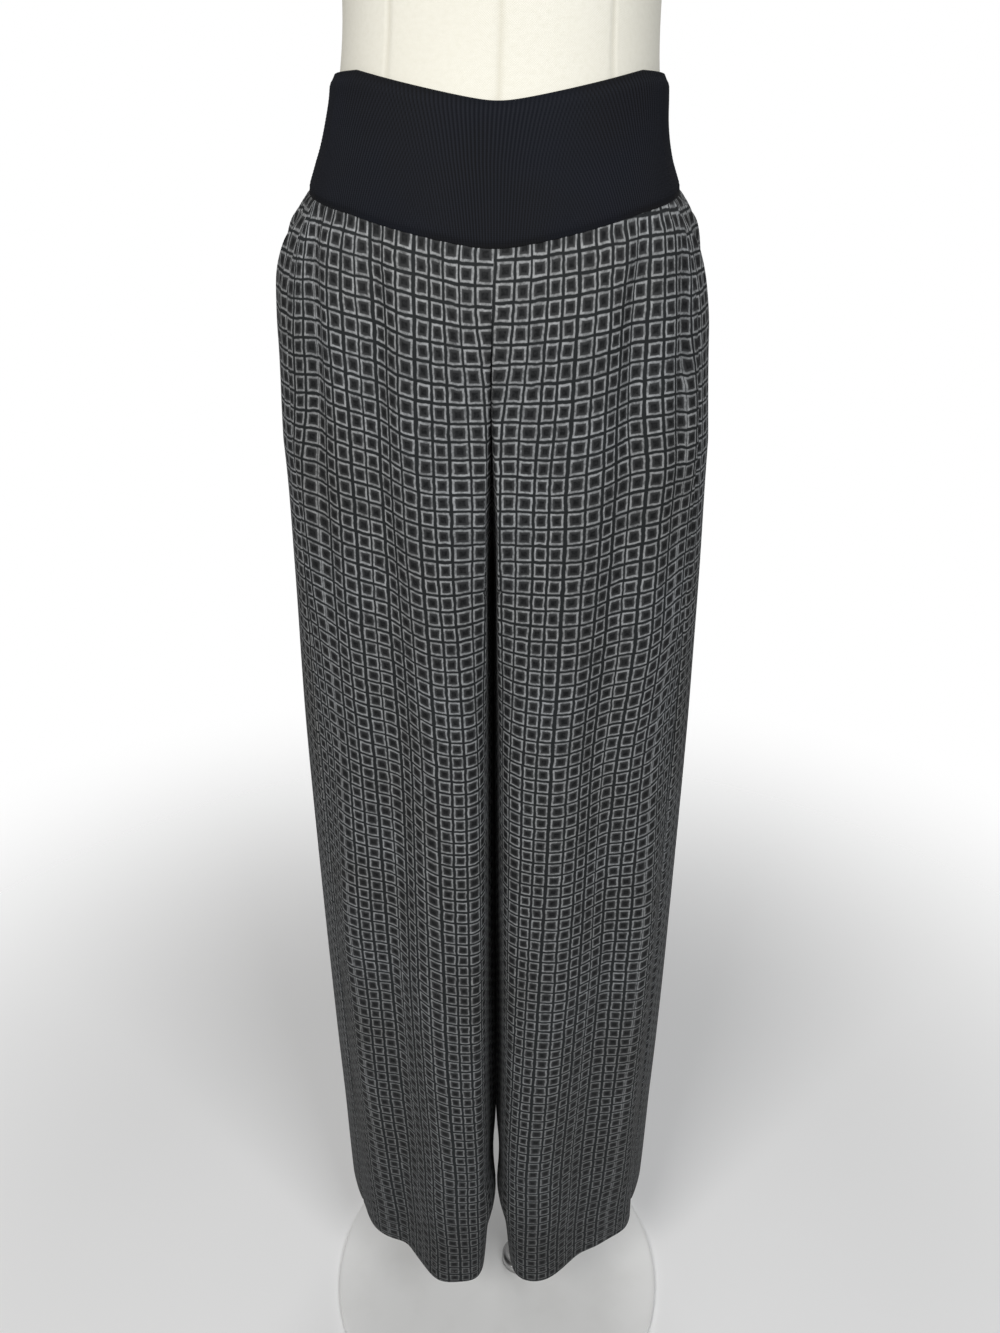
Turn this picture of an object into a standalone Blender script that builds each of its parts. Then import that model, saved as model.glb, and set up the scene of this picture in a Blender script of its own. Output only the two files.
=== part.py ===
"""Palazzo trousers with a ribbed waistband, worn by a limbless dress form on a stand.

Units are metres, +Z is up, the front faces -Y and the origin is on the floor
under the middle of the base plate.
"""

import bmesh
import bpy
import math
import numpy as np

# ---- driving dimensions -------------------------------------------------------------------------
HEM_HEIGHT = 0.130           # hem above the floor
CROTCH_HEIGHT = 0.930        # inseam 0.80 m
FORK_HEIGHT = 1.100          # where the centre seams start to run in between the legs
TUBE_HEIGHT = 0.760          # where the outer side has left the shape of the hips
BAND_SEAM_HEIGHT = 1.1845    # band to leg seam, at the sides and the back
BAND_SEAM_DIP = 0.0245       # how far that seam drops at the centre front
BAND_TOP_HEIGHT = 1.2520     # top edge of the band, at the sides and the back
BAND_TOP_DIP = 0.0155        # how far the top edge drops at the centre front
LEVEL_HEIGHT = 0.960         # rows of the legs are level from here down

CLOTH = 0.0012               # wall of the woven cloth
BAND_CLOTH = 0.0022          # wall of the knitted band, without its ribs
RIB_RAISE = 0.0006           # ribs stand this far out of the band
RIB_COUNT = 180              # ribs all round
SEAM_GAP = 0.0003            # between two pieces that are sewn together
BODY_GAP = 0.0005            # between the band and the form it grips

SIDE_SEAM_ANGLE = 62.5       # degrees round from the centre front, on the hips
SIDE_SEAM_TURN = 138.0       # degrees round the leg from the inseam, through the front
PANEL_COLUMNS = {"front": 20, "back": 24}
CORNER_COLUMNS = 5           # of these, those between the centre seam and the panel's corner
CORNER_LENGTH = 0.035        # that stretch on the hips
CORNER_REACH = 0.014         # the corner lies this far out from the leg's inner side
CENTRE_DEPTH = {"front": 0.118, "back": 0.135}
BAND_ROWS = 4
PLAIN_COLUMNS = 32           # columns on the plain inside of half a band

BASE_RADIUS = 0.190
BASE_THICKNESS = 0.008
BASE_EDGE = 0.003
COLLAR_RADIUS = 0.021
COLLAR_HEIGHT = 0.028
POLE_RADIUS = 0.0095
POLE_X = 0.027               # the pole runs down inside one leg, beside the crotch
POLE_Y = 0.008
FORM_COLUMNS = 48
NECK_CAP_RADIUS = 0.050
NECK_CAP_HEIGHT = 0.012

# Rows of cloth from the band seam down to the hem.
PANEL_LEVELS = (
    1.1842, 1.176, 1.164, 1.147, 1.124, 1.095, 1.062, 1.025, 0.990, 0.964, 0.946,
    0.936, 0.930, 0.905, 0.860, 0.780, 0.680, 0.570, 0.450, 0.330, 0.220, 0.130,
)

# The form: a section at each height, as half width, depth of the front and of the back,
# and how square the section is (2 is an ellipse).
FORM_COLUMNS_NAMED = ("height", "half_width", "front", "back", "square")
FORM_SECTIONS = (
    (1.012, 0.0900, 0.0660, 0.0800, 2.2),
    (1.020, 0.1120, 0.0800, 0.0950, 2.2),
    (1.036, 0.1270, 0.0900, 0.1050, 2.2),
    (1.062, 0.1370, 0.0985, 0.1120, 2.2),
    (1.095, 0.1410, 0.1030, 0.1150, 2.2),
    (1.130, 0.1380, 0.1030, 0.1120, 2.2),
    (1.160, 0.1300, 0.1000, 0.1060, 2.2),
    (1.1845, 0.1215, 0.0955, 0.0985, 2.2),
    (1.215, 0.1095, 0.0890, 0.0880, 2.2),
    (1.252, 0.0985, 0.0815, 0.0780, 2.2),
    (1.300, 0.0950, 0.0790, 0.0740, 2.2),
    (1.350, 0.1010, 0.0830, 0.0780, 2.2),
    (1.410, 0.1150, 0.0930, 0.0860, 2.2),
    (1.470, 0.1290, 0.1000, 0.0930, 2.2),
    (1.530, 0.1430, 0.0940, 0.0960, 2.2),
    (1.575, 0.1520, 0.0800, 0.0930, 2.1),
    (1.603, 0.1560, 0.0700, 0.0870, 2.0),
    (1.622, 0.1530, 0.0640, 0.0810, 2.0),
    (1.636, 0.1440, 0.0600, 0.0760, 2.0),
    (1.649, 0.1280, 0.0570, 0.0710, 2.0),
    (1.661, 0.1060, 0.0545, 0.0660, 2.0),
    (1.673, 0.0840, 0.0530, 0.0615, 2.0),
    (1.690, 0.0640, 0.0510, 0.0560, 2.0),
    (1.712, 0.0550, 0.0500, 0.0520, 2.0),
    (1.742, 0.0530, 0.0500, 0.0510, 2.0),
)
FORM_FULLEST = 1.095         # the cloth hangs straight down from the form's fullest section
BUST_HEIGHT = 1.468
BUST_SIDE = 0.066            # from the centre to the fullest point
BUST_WIDTH = 0.050
BUST_RAISE = 0.026

# Ease of the cloth over the form, by the distance below the band seam.
EASE_COLUMNS = ("below", "side", "front", "back")
HIP_EASE = (
    (0.000, 0.0022, 0.0022, 0.0022),
    (0.008, 0.0045, 0.0040, 0.0050),
    (0.020, 0.0075, 0.0060, 0.0085),
    (0.040, 0.0095, 0.0085, 0.0120),
    (0.070, 0.0100, 0.0100, 0.0130),
    (0.110, 0.0125, 0.0085, 0.0130),
    (0.160, 0.0165, 0.0070, 0.0110),
)

# The leg as a tube: its inner and outer side, its front and back, how far the middle of its
# depth moves back towards the outer side, and how square its inner half is.
LEG_COLUMNS = ("height", "inner", "outer", "front", "back", "sweep", "square")
LEG_SECTIONS = (
    (0.130, 0.0105, 0.1770, 0.1020, 0.1160, 0.080, 6.0),
    (0.250, 0.0065, 0.1765, 0.1020, 0.1150, 0.075, 6.0),
    (0.340, 0.0038, 0.1760, 0.1015, 0.1140, 0.071, 6.0),
    (0.450, 0.0018, 0.1745, 0.1010, 0.1130, 0.066, 5.5),
    (0.600, 0.0012, 0.1720, 0.1000, 0.1120, 0.057, 5.0),
    (0.780, 0.0010, 0.1680, 0.0960, 0.1120, 0.041, 5.5),
    (0.930, 0.0008, 0.1630, 0.0940, 0.1150, 0.026, 6.0),
    (1.100, 0.0008, 0.1570, 0.0960, 0.1180, 0.012, 5.0),
)

INSEAM_FLARE = 0.0055        # the inner side swings in towards the other leg at the hem
FLARE_HEIGHT = 0.120
# How the two legs hang unlike: the shift of both along X, and what each has more at its side.
HANG_COLUMNS = ("height", "lean", "right", "left")
HANG = (
    (0.130, 0.0000, 0.0000, 0.0000),
    (0.250, -0.0005, -0.0010, 0.0008),
    (0.430, -0.0010, 0.0000, 0.0036),
    (0.600, -0.0015, 0.0006, 0.0050),
    (0.800, -0.0020, -0.0006, 0.0052),
    (0.930, -0.0020, -0.0026, 0.0044),
    (1.005, -0.0020, -0.0038, 0.0022),
    (1.060, -0.0020, -0.0028, 0.0008),
    (1.115, -0.0018, -0.0022, -0.0016),
    (1.140, -0.0014, -0.0012, -0.0030),
    (1.1845, 0.0000, 0.0000, 0.0000),
)

# Long folds: how far each lies from the panel's corner beside the centre, towards the side seam,
# and how far it stands out (+) or falls in (-), at the hip, the knee and the hem.
FOLD_COLUMNS = (
    "leg", "panel", "at_hip", "at_knee", "at_hem", "width", "out_hip", "out_knee", "out_hem")
LONG_FOLDS = (
    ("right", "front", 0.018, 0.037, 0.036, 0.022, 0.004, 0.007, 0.010),
    ("right", "front", 0.040, 0.086, 0.089, 0.020, -0.005, -0.010, -0.009),
    ("right", "front", 0.064, 0.130, 0.134, 0.020, 0.003, 0.006, 0.003),
    ("right", "front", 0.088, 0.110, 0.120, 0.014, -0.004, 0.000, 0.000),
    ("left", "front", 0.030, 0.043, 0.027, 0.024, 0.004, 0.008, 0.006),
    ("left", "front", 0.058, 0.095, 0.076, 0.018, -0.005, -0.007, -0.004),
    ("left", "front", 0.080, 0.138, 0.136, 0.022, 0.003, 0.007, 0.009),
    ("left", "front", 0.101, 0.118, 0.118, 0.012, -0.003, 0.000, 0.000),
    ("right", "back", 0.032, 0.030, 0.028, 0.024, 0.002, 0.006, 0.007),
    ("right", "back", 0.078, 0.072, 0.066, 0.022, -0.004, -0.009, -0.011),
    ("right", "back", 0.132, 0.116, 0.110, 0.024, 0.004, 0.006, 0.007),
    ("right", "back", 0.172, 0.166, 0.160, 0.022, -0.003, -0.006, -0.007),
    ("left", "back", 0.040, 0.038, 0.036, 0.024, 0.002, 0.006, 0.006),
    ("left", "back", 0.094, 0.086, 0.080, 0.022, -0.004, -0.008, -0.010),
    ("left", "back", 0.144, 0.130, 0.122, 0.024, 0.004, 0.006, 0.006),
    ("left", "back", 0.184, 0.176, 0.168, 0.022, -0.003, -0.005, -0.006),
)
GATHER_LENGTH = {"front": 0.028, "back": 0.046}    # from one gather under the band to the next
GATHER_RAISE = 0.0034
GATHER_FADE = 0.170          # they have died away this far below the band
SEAM_CALM = 0.018            # folds and gathers fade out over this much cloth beside a seam


# ---- tables and curves --------------------------------------------------------------------------
def read_table(rows, columns, name, at):
    """Read a column at any height, on a smooth curve through the table's rows."""
    order = sorted(rows, key=lambda row: row[0])
    xs = np.array([row[0] for row in order])
    ys = np.array([row[columns.index(name)] for row in order])
    slopes = np.gradient(ys, xs)
    at = np.clip(np.asarray(at, dtype=float), xs[0], xs[-1])
    index = np.clip(np.searchsorted(xs, at, side="right") - 1, 0, len(xs) - 2)
    step = xs[index + 1] - xs[index]
    t = (at - xs[index]) / step
    start = (1 + 2 * t) * (1 - t) ** 2 * ys[index] + t * (1 - t) ** 2 * step * slopes[index]
    end = t ** 2 * (3 - 2 * t) * ys[index + 1] + t ** 2 * (t - 1) * step * slopes[index + 1]
    return start + end


def signed_power(value, power):
    return np.sign(value) * np.abs(value) ** power


def front_dip(degrees, reach):
    """1 at the centre front, falling in an almost straight line to 0 at the reach."""
    softened = np.sqrt(degrees ** 2 + 16.0) - 4.0
    return np.clip(1.0 - softened / reach, 0.0, 1.0) ** 1.1


def form_point(degrees, height, grow_side=0.0, grow_front=0.0, grow_back=0.0):
    """A point of the form's section, grown outwards, at an angle from the centre front."""
    turn = np.radians(degrees)
    power = 2.0 / read_table(FORM_SECTIONS, FORM_COLUMNS_NAMED, "square", height)
    width = read_table(FORM_SECTIONS, FORM_COLUMNS_NAMED, "half_width", height) + grow_side
    front = read_table(FORM_SECTIONS, FORM_COLUMNS_NAMED, "front", height) + grow_front
    back = read_table(FORM_SECTIONS, FORM_COLUMNS_NAMED, "back", height) + grow_back
    depth = np.where(np.cos(turn) > 0, front, back)
    x = width * signed_power(np.sin(turn), power)
    y = -depth * signed_power(np.cos(turn), power)
    return x, y


# ---- mesh helpers -------------------------------------------------------------------------------
def make_material(name, colour, roughness, metallic=0.0):
    material = bpy.data.materials.new(name)
    material.use_nodes = True
    shader = material.node_tree.nodes["Principled BSDF"]
    shader.inputs["Base Color"].default_value = (*colour, 1.0)
    shader.inputs["Roughness"].default_value = roughness
    shader.inputs["Metallic"].default_value = metallic
    material.diffuse_color = (*colour, 1.0)
    return material


def make_object(name, points, faces, material, collection, sharp_degrees=40.0):
    mesh = bpy.data.meshes.new(name)
    mesh.from_pydata([tuple(point) for point in points], [], faces)
    mesh.validate()
    mesh.materials.append(material)
    mesh.shade_smooth()
    mesh.set_sharp_from_angle(angle=math.radians(sharp_degrees))
    piece = bpy.data.objects.new(name, mesh)
    collection.objects.link(piece)
    return piece


def make_faces_point_out(piece):
    work = bmesh.new()
    work.from_mesh(piece.data)
    bmesh.ops.recalc_face_normals(work, faces=work.faces)
    if work.calc_volume(signed=True) < 0.0:
        bmesh.ops.reverse_faces(work, faces=work.faces)
    work.to_mesh(piece.data)
    work.free()


def strip_between(first, second):
    """Triangles that join two rows of points with unlike counts, both running the same way."""
    faces = []
    i = 0
    j = 0
    while i < len(first) - 1 or j < len(second) - 1:
        ahead_first = (i + 1) / (len(first) - 1)
        ahead_second = (j + 1) / (len(second) - 1)
        if j == len(second) - 1 or (i < len(first) - 1 and ahead_first <= ahead_second):
            faces.append((first[i], first[i + 1], second[j]))
            i += 1
        else:
            faces.append((first[i], second[j + 1], second[j]))
            j += 1
    return faces


def wall_between(outer, inner):
    """A closed wall from an outer and an inner grid of points (rows by columns by 3)."""
    points = np.concatenate([outer.reshape(-1, 3), inner.reshape(-1, 3)])
    out = np.arange(outer.shape[0] * outer.shape[1]).reshape(outer.shape[:2])
    inn = np.arange(inner.shape[0] * inner.shape[1]).reshape(inner.shape[:2]) + out.size
    faces = []
    for grid, turned in ((out, False), (inn, True)):
        for r in range(grid.shape[0] - 1):
            for c in range(grid.shape[1] - 1):
                face = (grid[r, c], grid[r + 1, c], grid[r + 1, c + 1], grid[r, c + 1])
                faces.append(face[::-1] if turned else face)
    faces += strip_between(list(out[0]), list(inn[0]))
    faces += [face[::-1] for face in strip_between(list(out[-1]), list(inn[-1]))]
    for column, turned in ((0, False), (-1, True)):
        for r in range(out.shape[0] - 1):
            face = (out[r, column], inn[r, column], inn[r + 1, column], out[r + 1, column])
            faces.append(face[::-1] if turned else face)
    return points, [tuple(int(index) for index in face) for face in faces]


# ---- waistband ----------------------------------------------------------------------------------
def band_grid(start, end, columns, lift, ribbed):
    """Band points from one side seam to the other; lift is the height over the form's gap."""
    share = np.linspace(0.0, 1.0, columns + 1)
    degrees = start + (end - start) * share
    rows = []
    for up in np.linspace(0.0, 1.0, BAND_ROWS + 1):
        around = np.abs((degrees + 180.0) % 360.0 - 180.0)
        low = BAND_SEAM_HEIGHT - BAND_SEAM_DIP * front_dip(around, 90.0)
        high = BAND_TOP_HEIGHT - BAND_TOP_DIP * front_dip(around, 62.0)
        height = low + (high - low) * up
        stand_off = 0.0050 * up ** 1.6
        raised = lift + (RIB_RAISE * (np.arange(columns + 1) % 2) if ribbed else 0.0)
        x, y = form_point(
            degrees, height,
            BODY_GAP + raised + stand_off,
            BODY_GAP + raised + 0.4 * stand_off,
            BODY_GAP + raised + 0.5 * stand_off)
        rows.append(np.stack([x, y, height], axis=1))
    return np.array(rows[::-1])


def build_band(name, start, end, ribs, material, collection):
    gap = math.degrees(0.5 * SEAM_GAP / 0.11)
    outer = band_grid(start + gap, end - gap, 2 * ribs, BAND_CLOTH, True)
    inner = band_grid(start + gap, end - gap, PLAIN_COLUMNS, 0.0, False)
    points, faces = wall_between(outer, inner)
    piece = make_object(name, points, faces, material, collection)
    make_faces_point_out(piece)
    return piece


# ---- legs ---------------------------------------------------------------------------------------
def fork_shares(level):
    """How far the centre seam has run in to the crotch, and the cloth left the hips' section."""
    t = np.clip((FORK_HEIGHT - level) / (FORK_HEIGHT - CROTCH_HEIGHT), 0.0, 1.0)
    seam = 1.0 - (1.0 - t ** 2.4) ** 0.6
    u = np.clip((FORK_HEIGHT - level) / (FORK_HEIGHT - TUBE_HEIGHT), 0.0, 1.0)
    return float(seam), float(u * u * (3.0 - 2.0 * u))


def arc_lengths(x, y):
    return np.concatenate([[0.0], np.cumsum(np.hypot(np.diff(x), np.diff(y)))])


def corner_share(panel):
    return CORNER_COLUMNS / PANEL_COLUMNS[panel]


def spread(share, panel, corner, length):
    """Arc lengths for shares of a panel: a fixed share lies between the seam and the corner."""
    turn = corner_share(panel)
    inner = share / turn * corner
    outer = corner + (share - turn) / (1.0 - turn) * (length - corner)
    return np.where(share < turn, inner, outer)


def hip_curve(share, level, panel, seam_y):
    """One panel's stretch of the hip section, behind a straight run out from the centre seam."""
    end = SIDE_SEAM_ANGLE if panel == "front" else 180.0 - SIDE_SEAM_ANGLE
    off = np.linspace(0.0, end, 181)
    degrees = off if panel == "front" else 180.0 - off
    fade = np.clip((level - LEVEL_HEIGHT) / (BAND_SEAM_HEIGHT - LEVEL_HEIGHT), 0.0, 1.0)
    height = level - BAND_SEAM_DIP * front_dip(degrees, 90.0) * fade
    below = BAND_SEAM_HEIGHT - level
    x, y = form_point(
        degrees, np.maximum(height, FORM_FULLEST),
        read_table(HIP_EASE, EASE_COLUMNS, "side", below),
        read_table(HIP_EASE, EASE_COLUMNS, "front", below),
        read_table(HIP_EASE, EASE_COLUMNS, "back", below))
    run_in = max(0.0, abs(y[0]) - abs(seam_y))
    x = np.concatenate([[0.0], x])
    y = np.concatenate([[seam_y if run_in > 0.0 else y[0]], y])
    height = np.concatenate([height[:1], height])
    run = arc_lengths(x, y)
    at = spread(share, panel, run_in + CORNER_LENGTH, run[-1])
    return np.interp(at, run, x), np.interp(at, run, y), np.interp(at, run, height)


def leg_curve(share, level, panel, seam_y):
    """One panel's stretch of the leg's tube, from the centre seam to the side seam."""
    turn_end = SIDE_SEAM_TURN if panel == "front" else SIDE_SEAM_TURN - 360.0
    turn = np.radians(np.linspace(0.0, turn_end, 361))
    inner, outer, front, back, sweep, square = (
        float(read_table(LEG_SECTIONS, LEG_COLUMNS, name, level)) for name in LEG_COLUMNS[1:])
    middle = 0.5 * (inner + outer)
    half = 0.5 * (outer - inner)
    power = np.where(np.cos(turn) > 0, 2.0 / square, 1.0)
    x = middle - half * signed_power(np.cos(turn), power)
    across = np.clip((x - inner) / (outer - inner), 0.0, 1.0)
    spine = sweep * across ** 1.2
    rise = signed_power(np.sin(turn), power)
    y = np.where(rise > 0, spine - front * rise, spine - (back - spine) * rise)
    flare = INSEAM_FLARE * max(0.0, 1.0 - (level - HEM_HEIGHT) / FLARE_HEIGHT) ** 1.5
    x = x - flare * np.exp(-((y - POLE_Y) / 0.035) ** 2) * (1.0 - across) ** 4
    run = arc_lengths(x, y)
    start = np.interp(min(abs(seam_y), 0.97 * np.abs(y[:120]).max()), np.abs(y[:120]), run[:120])
    corner = np.interp(inner + CORNER_REACH, x[:180], run[:180])
    at = start + spread(share, panel, corner - start, run[-1] - start)
    x = np.interp(at, run, x)
    y = np.interp(at, run, y)
    near_seam = np.clip(1.0 - share / corner_share(panel), 0.0, 1.0)
    return x - (x[0] - inner) * near_seam ** 2, y


def fold_lift(leg, panel, along, corner, level):
    """How far the long folds push the cloth out at each point of one row."""
    lift = np.zeros_like(along)
    stops = (HEM_HEIGHT, 0.55, 1.08)
    for row in LONG_FOLDS:
        fold = dict(zip(FOLD_COLUMNS, row))
        if fold["leg"] != leg or fold["panel"] != panel:
            continue
        place = np.interp(level, stops, (fold["at_hem"], fold["at_knee"], fold["at_hip"]))
        out = np.interp(level, stops, (fold["out_hem"], fold["out_knee"], fold["out_hip"]))
        out *= np.clip((BAND_SEAM_HEIGHT - level) / 0.06, 0.0, 1.0)
        lift += out * np.exp(-((along - corner - place) / fold["width"]) ** 2)
    return lift


def gather_lift(leg, panel, along, level):
    """Small gathers under the band, uneven in place and strength, dying away downwards."""
    below = BAND_SEAM_HEIGHT - level
    strength = min(1.0, (below + 0.004) / 0.022) * max(0.0, 1.0 - below / GATHER_FADE) ** 1.3
    shift = {"front": 0.3, "back": 1.7}[panel] + {"right": 0.0, "left": 0.9}[leg]
    phase = 2.0 * math.pi * (along / GATHER_LENGTH[panel] + 0.20 * np.sin(40.0 * along + shift))
    uneven = 0.7 + 0.3 * np.sin(50.0 * along + 2.0 * shift)
    return GATHER_RAISE * strength * uneven * (0.5 - 0.5 * np.cos(phase + shift))


def panel_row(leg, panel, level):
    """One row of a panel: points of its outer face and the directions that point out of it."""
    fine = np.linspace(0.0, 1.0, 241)
    forward = -1.0 if panel == "front" else 1.0
    seam, side = fork_shares(level)
    seam_y = forward * (1.0 - seam) * CENTRE_DEPTH[panel]
    hip_x, hip_y, hip_z = hip_curve(fine, level, panel, seam_y)
    leg_x, leg_y = leg_curve(fine, level, panel, seam_y)
    hip_x += (leg_x - hip_x) * side
    hip_y += (leg_y - hip_y) * side
    hip_z += (level - hip_z) * side
    outer = read_table(LEG_SECTIONS, LEG_COLUMNS, "outer", level)
    hip_x *= 1.0 + read_table(HANG, HANG_COLUMNS, leg, level) / outer
    run = arc_lengths(hip_x, hip_y)
    length = run[-1]
    corner = np.interp(corner_share(panel), fine, run)
    share = np.linspace(0.0, 1.0, PANEL_COLUMNS[panel] + 1)
    trim = 0.5 * SEAM_GAP / length
    along = spread(share, panel, corner, length) * (1.0 - 2.0 * trim) + 0.5 * SEAM_GAP
    x = np.interp(along, run, hip_x)
    y = np.interp(along, run, hip_y)
    z = np.interp(along, run, hip_z)
    step = 0.0025
    after = np.minimum(along + step, length)
    before = np.maximum(along - step, 0.0)
    tx = np.interp(after, run, hip_x) - np.interp(before, run, hip_x)
    ty = np.interp(after, run, hip_y) - np.interp(before, run, hip_y)
    size = np.hypot(tx, ty)
    nx = -forward * ty / size
    ny = forward * tx / size
    lift = fold_lift(leg, panel, along, corner, level) + gather_lift(leg, panel, along, level)
    edge = np.clip(np.minimum(along, length - along) / SEAM_CALM, 0.0, 1.0)
    lift *= edge ** 2 * (3.0 - 2.0 * edge)
    x = np.maximum(x + nx * lift, 0.5 * SEAM_GAP)
    y = y + ny * lift
    return np.stack([x, y, z], axis=1), np.stack([nx, ny, np.zeros_like(nx)], axis=1)


def build_panel(leg, panel, material, collection):
    side = 1.0 if leg == "left" else -1.0
    flip = np.array([side, 1.0, 1.0])
    outer = []
    inner = []
    for level in PANEL_LEVELS:
        points, out = panel_row(leg, panel, level)
        lean = np.array([float(read_table(HANG, HANG_COLUMNS, "lean", level)), 0.0, 0.0])
        outer.append(points * flip + lean)
        inner.append((points - out * CLOTH) * flip + lean)
    points, faces = wall_between(np.array(outer), np.array(inner))
    piece = make_object(f"{panel}_{leg}_leg", points, faces, material, collection)
    make_faces_point_out(piece)
    return piece


# ---- form and stand -----------------------------------------------------------------------------
def build_form(material, collection):
    heights = []
    for low, high in zip(FORM_SECTIONS[:-1], FORM_SECTIONS[1:]):
        heights.append(low[0])
        if high[0] - low[0] > 0.045:
            heights.append(0.5 * (low[0] + high[0]))
    heights.append(FORM_SECTIONS[-1][0])
    degrees = np.linspace(0.0, 360.0, FORM_COLUMNS, endpoint=False)
    rings = []
    for height in heights:
        x, y = form_point(degrees, height)
        near = np.exp(-((np.abs(x) - BUST_SIDE) / BUST_WIDTH) ** 2)
        near *= np.exp(-((height - BUST_HEIGHT) / BUST_WIDTH) ** 2)
        y = y - BUST_RAISE * near * np.clip(np.cos(np.radians(degrees)), 0.0, 1.0)
        rings.append(np.stack([x, y, np.full_like(x, height)], axis=1))
    points = np.concatenate(rings)
    count = FORM_COLUMNS
    faces = []
    for r in range(len(rings) - 1):
        for c in range(count):
            after = (c + 1) % count
            faces.append((r * count + c, r * count + after,
                          (r + 1) * count + after, (r + 1) * count + c))
    faces.append(tuple(range(count))[::-1])
    top = (len(rings) - 1) * count
    faces.append(tuple(range(top, top + count)))
    piece = make_object("dress_form", points, faces, material, collection)
    make_faces_point_out(piece)
    return piece


def build_turned(name, profile, place, material, collection, steps=48):
    """Turn a profile of (radius, height) points, from the top axis point down, into a solid."""
    mesh = bpy.data.meshes.new(name)
    points = [(radius, 0.0, height) for radius, height in profile]
    edges = [(i, i + 1) for i in range(len(points) - 1)]
    mesh.from_pydata(points, edges, [])
    mesh.materials.append(material)
    piece = bpy.data.objects.new(name, mesh)
    piece.location = place
    collection.objects.link(piece)
    screw = piece.modifiers.new("Turn", "SCREW")
    screw.axis = "Z"
    screw.angle = math.tau
    screw.steps = steps
    screw.render_steps = steps
    screw.use_merge_vertices = True
    screw.merge_threshold = 0.0001
    screw.use_smooth_shade = True
    return piece


def build_stand(materials, collection):
    form_bottom = FORM_SECTIONS[0][0]
    form_top = FORM_SECTIONS[-1][0]
    build_turned(
        "base_plate",
        ((0.0, BASE_THICKNESS), (BASE_RADIUS - BASE_EDGE, BASE_THICKNESS),
         (BASE_RADIUS - 0.3 * BASE_EDGE, BASE_THICKNESS - 0.3 * BASE_EDGE),
         (BASE_RADIUS, BASE_THICKNESS - BASE_EDGE), (BASE_RADIUS, 0.0), (0.0, 0.0)),
        (0.0, 0.0, 0.0), materials["base"], collection, 64)
    collar_low = BASE_THICKNESS + SEAM_GAP
    build_turned(
        "pole_collar",
        ((POLE_RADIUS + SEAM_GAP, COLLAR_HEIGHT), (COLLAR_RADIUS - 0.003, COLLAR_HEIGHT),
         (COLLAR_RADIUS, COLLAR_HEIGHT - 0.003), (COLLAR_RADIUS, 0.0),
         (POLE_RADIUS + SEAM_GAP, 0.0), (POLE_RADIUS + SEAM_GAP, COLLAR_HEIGHT)),
        (POLE_X, POLE_Y, collar_low), materials["metal"], collection, 32)
    length = form_bottom - SEAM_GAP - collar_low
    build_turned(
        "pole", ((0.0, length), (POLE_RADIUS, length), (POLE_RADIUS, 0.0), (0.0, 0.0)),
        (POLE_X, POLE_Y, collar_low), materials["metal"], collection, 24)
    build_turned(
        "neck_cap",
        ((0.0, NECK_CAP_HEIGHT), (0.5 * NECK_CAP_RADIUS, 0.9 * NECK_CAP_HEIGHT),
         (0.9 * NECK_CAP_RADIUS, 0.55 * NECK_CAP_HEIGHT), (NECK_CAP_RADIUS, 0.0), (0.0, 0.0)),
        (0.0, 0.0, form_top + SEAM_GAP), materials["cap"], collection, 40)


# ---- the object ---------------------------------------------------------------------------------
def build():
    for old in list(bpy.data.objects):
        bpy.data.objects.remove(old, do_unlink=True)
    collection = bpy.data.collections.new("Palazzo trousers on a dress form")
    bpy.context.scene.collection.children.link(collection)
    rib_knit = make_material("rib_knit", (0.014, 0.015, 0.019), 0.85)
    printed_cloth = make_material("printed_cloth", (0.035, 0.036, 0.038), 0.7)
    materials = {
        "form": make_material("form_cover", (0.86, 0.84, 0.76), 0.85),
        "base": make_material("painted_base", (0.86, 0.86, 0.85), 0.35),
        "metal": make_material("stand_metal", (0.62, 0.62, 0.62), 0.25, 1.0),
        "cap": make_material("neck_wood", (0.45, 0.30, 0.17), 0.5),
    }
    half = RIB_COUNT // 2
    front_ribs = round(RIB_COUNT * 2.0 * SIDE_SEAM_ANGLE / 360.0)
    build_band("waistband_front", -SIDE_SEAM_ANGLE, SIDE_SEAM_ANGLE, front_ribs,
               rib_knit, collection)
    build_band("waistband_back", SIDE_SEAM_ANGLE, 360.0 - SIDE_SEAM_ANGLE,
               2 * half - front_ribs, rib_knit, collection)
    for leg in ("right", "left"):
        for panel in ("front", "back"):
            build_panel(leg, panel, printed_cloth, collection)
    build_form(materials["form"], collection)
    build_stand(materials, collection)


build()
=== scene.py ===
# Long wide-leg trousers with a tall ribbed waistband, worn by a limbless dress form on a stand:
# the finish of every piece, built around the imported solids. Metres, +Z up, the front faces -Y.
import math
from functools import partialmethod

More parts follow.
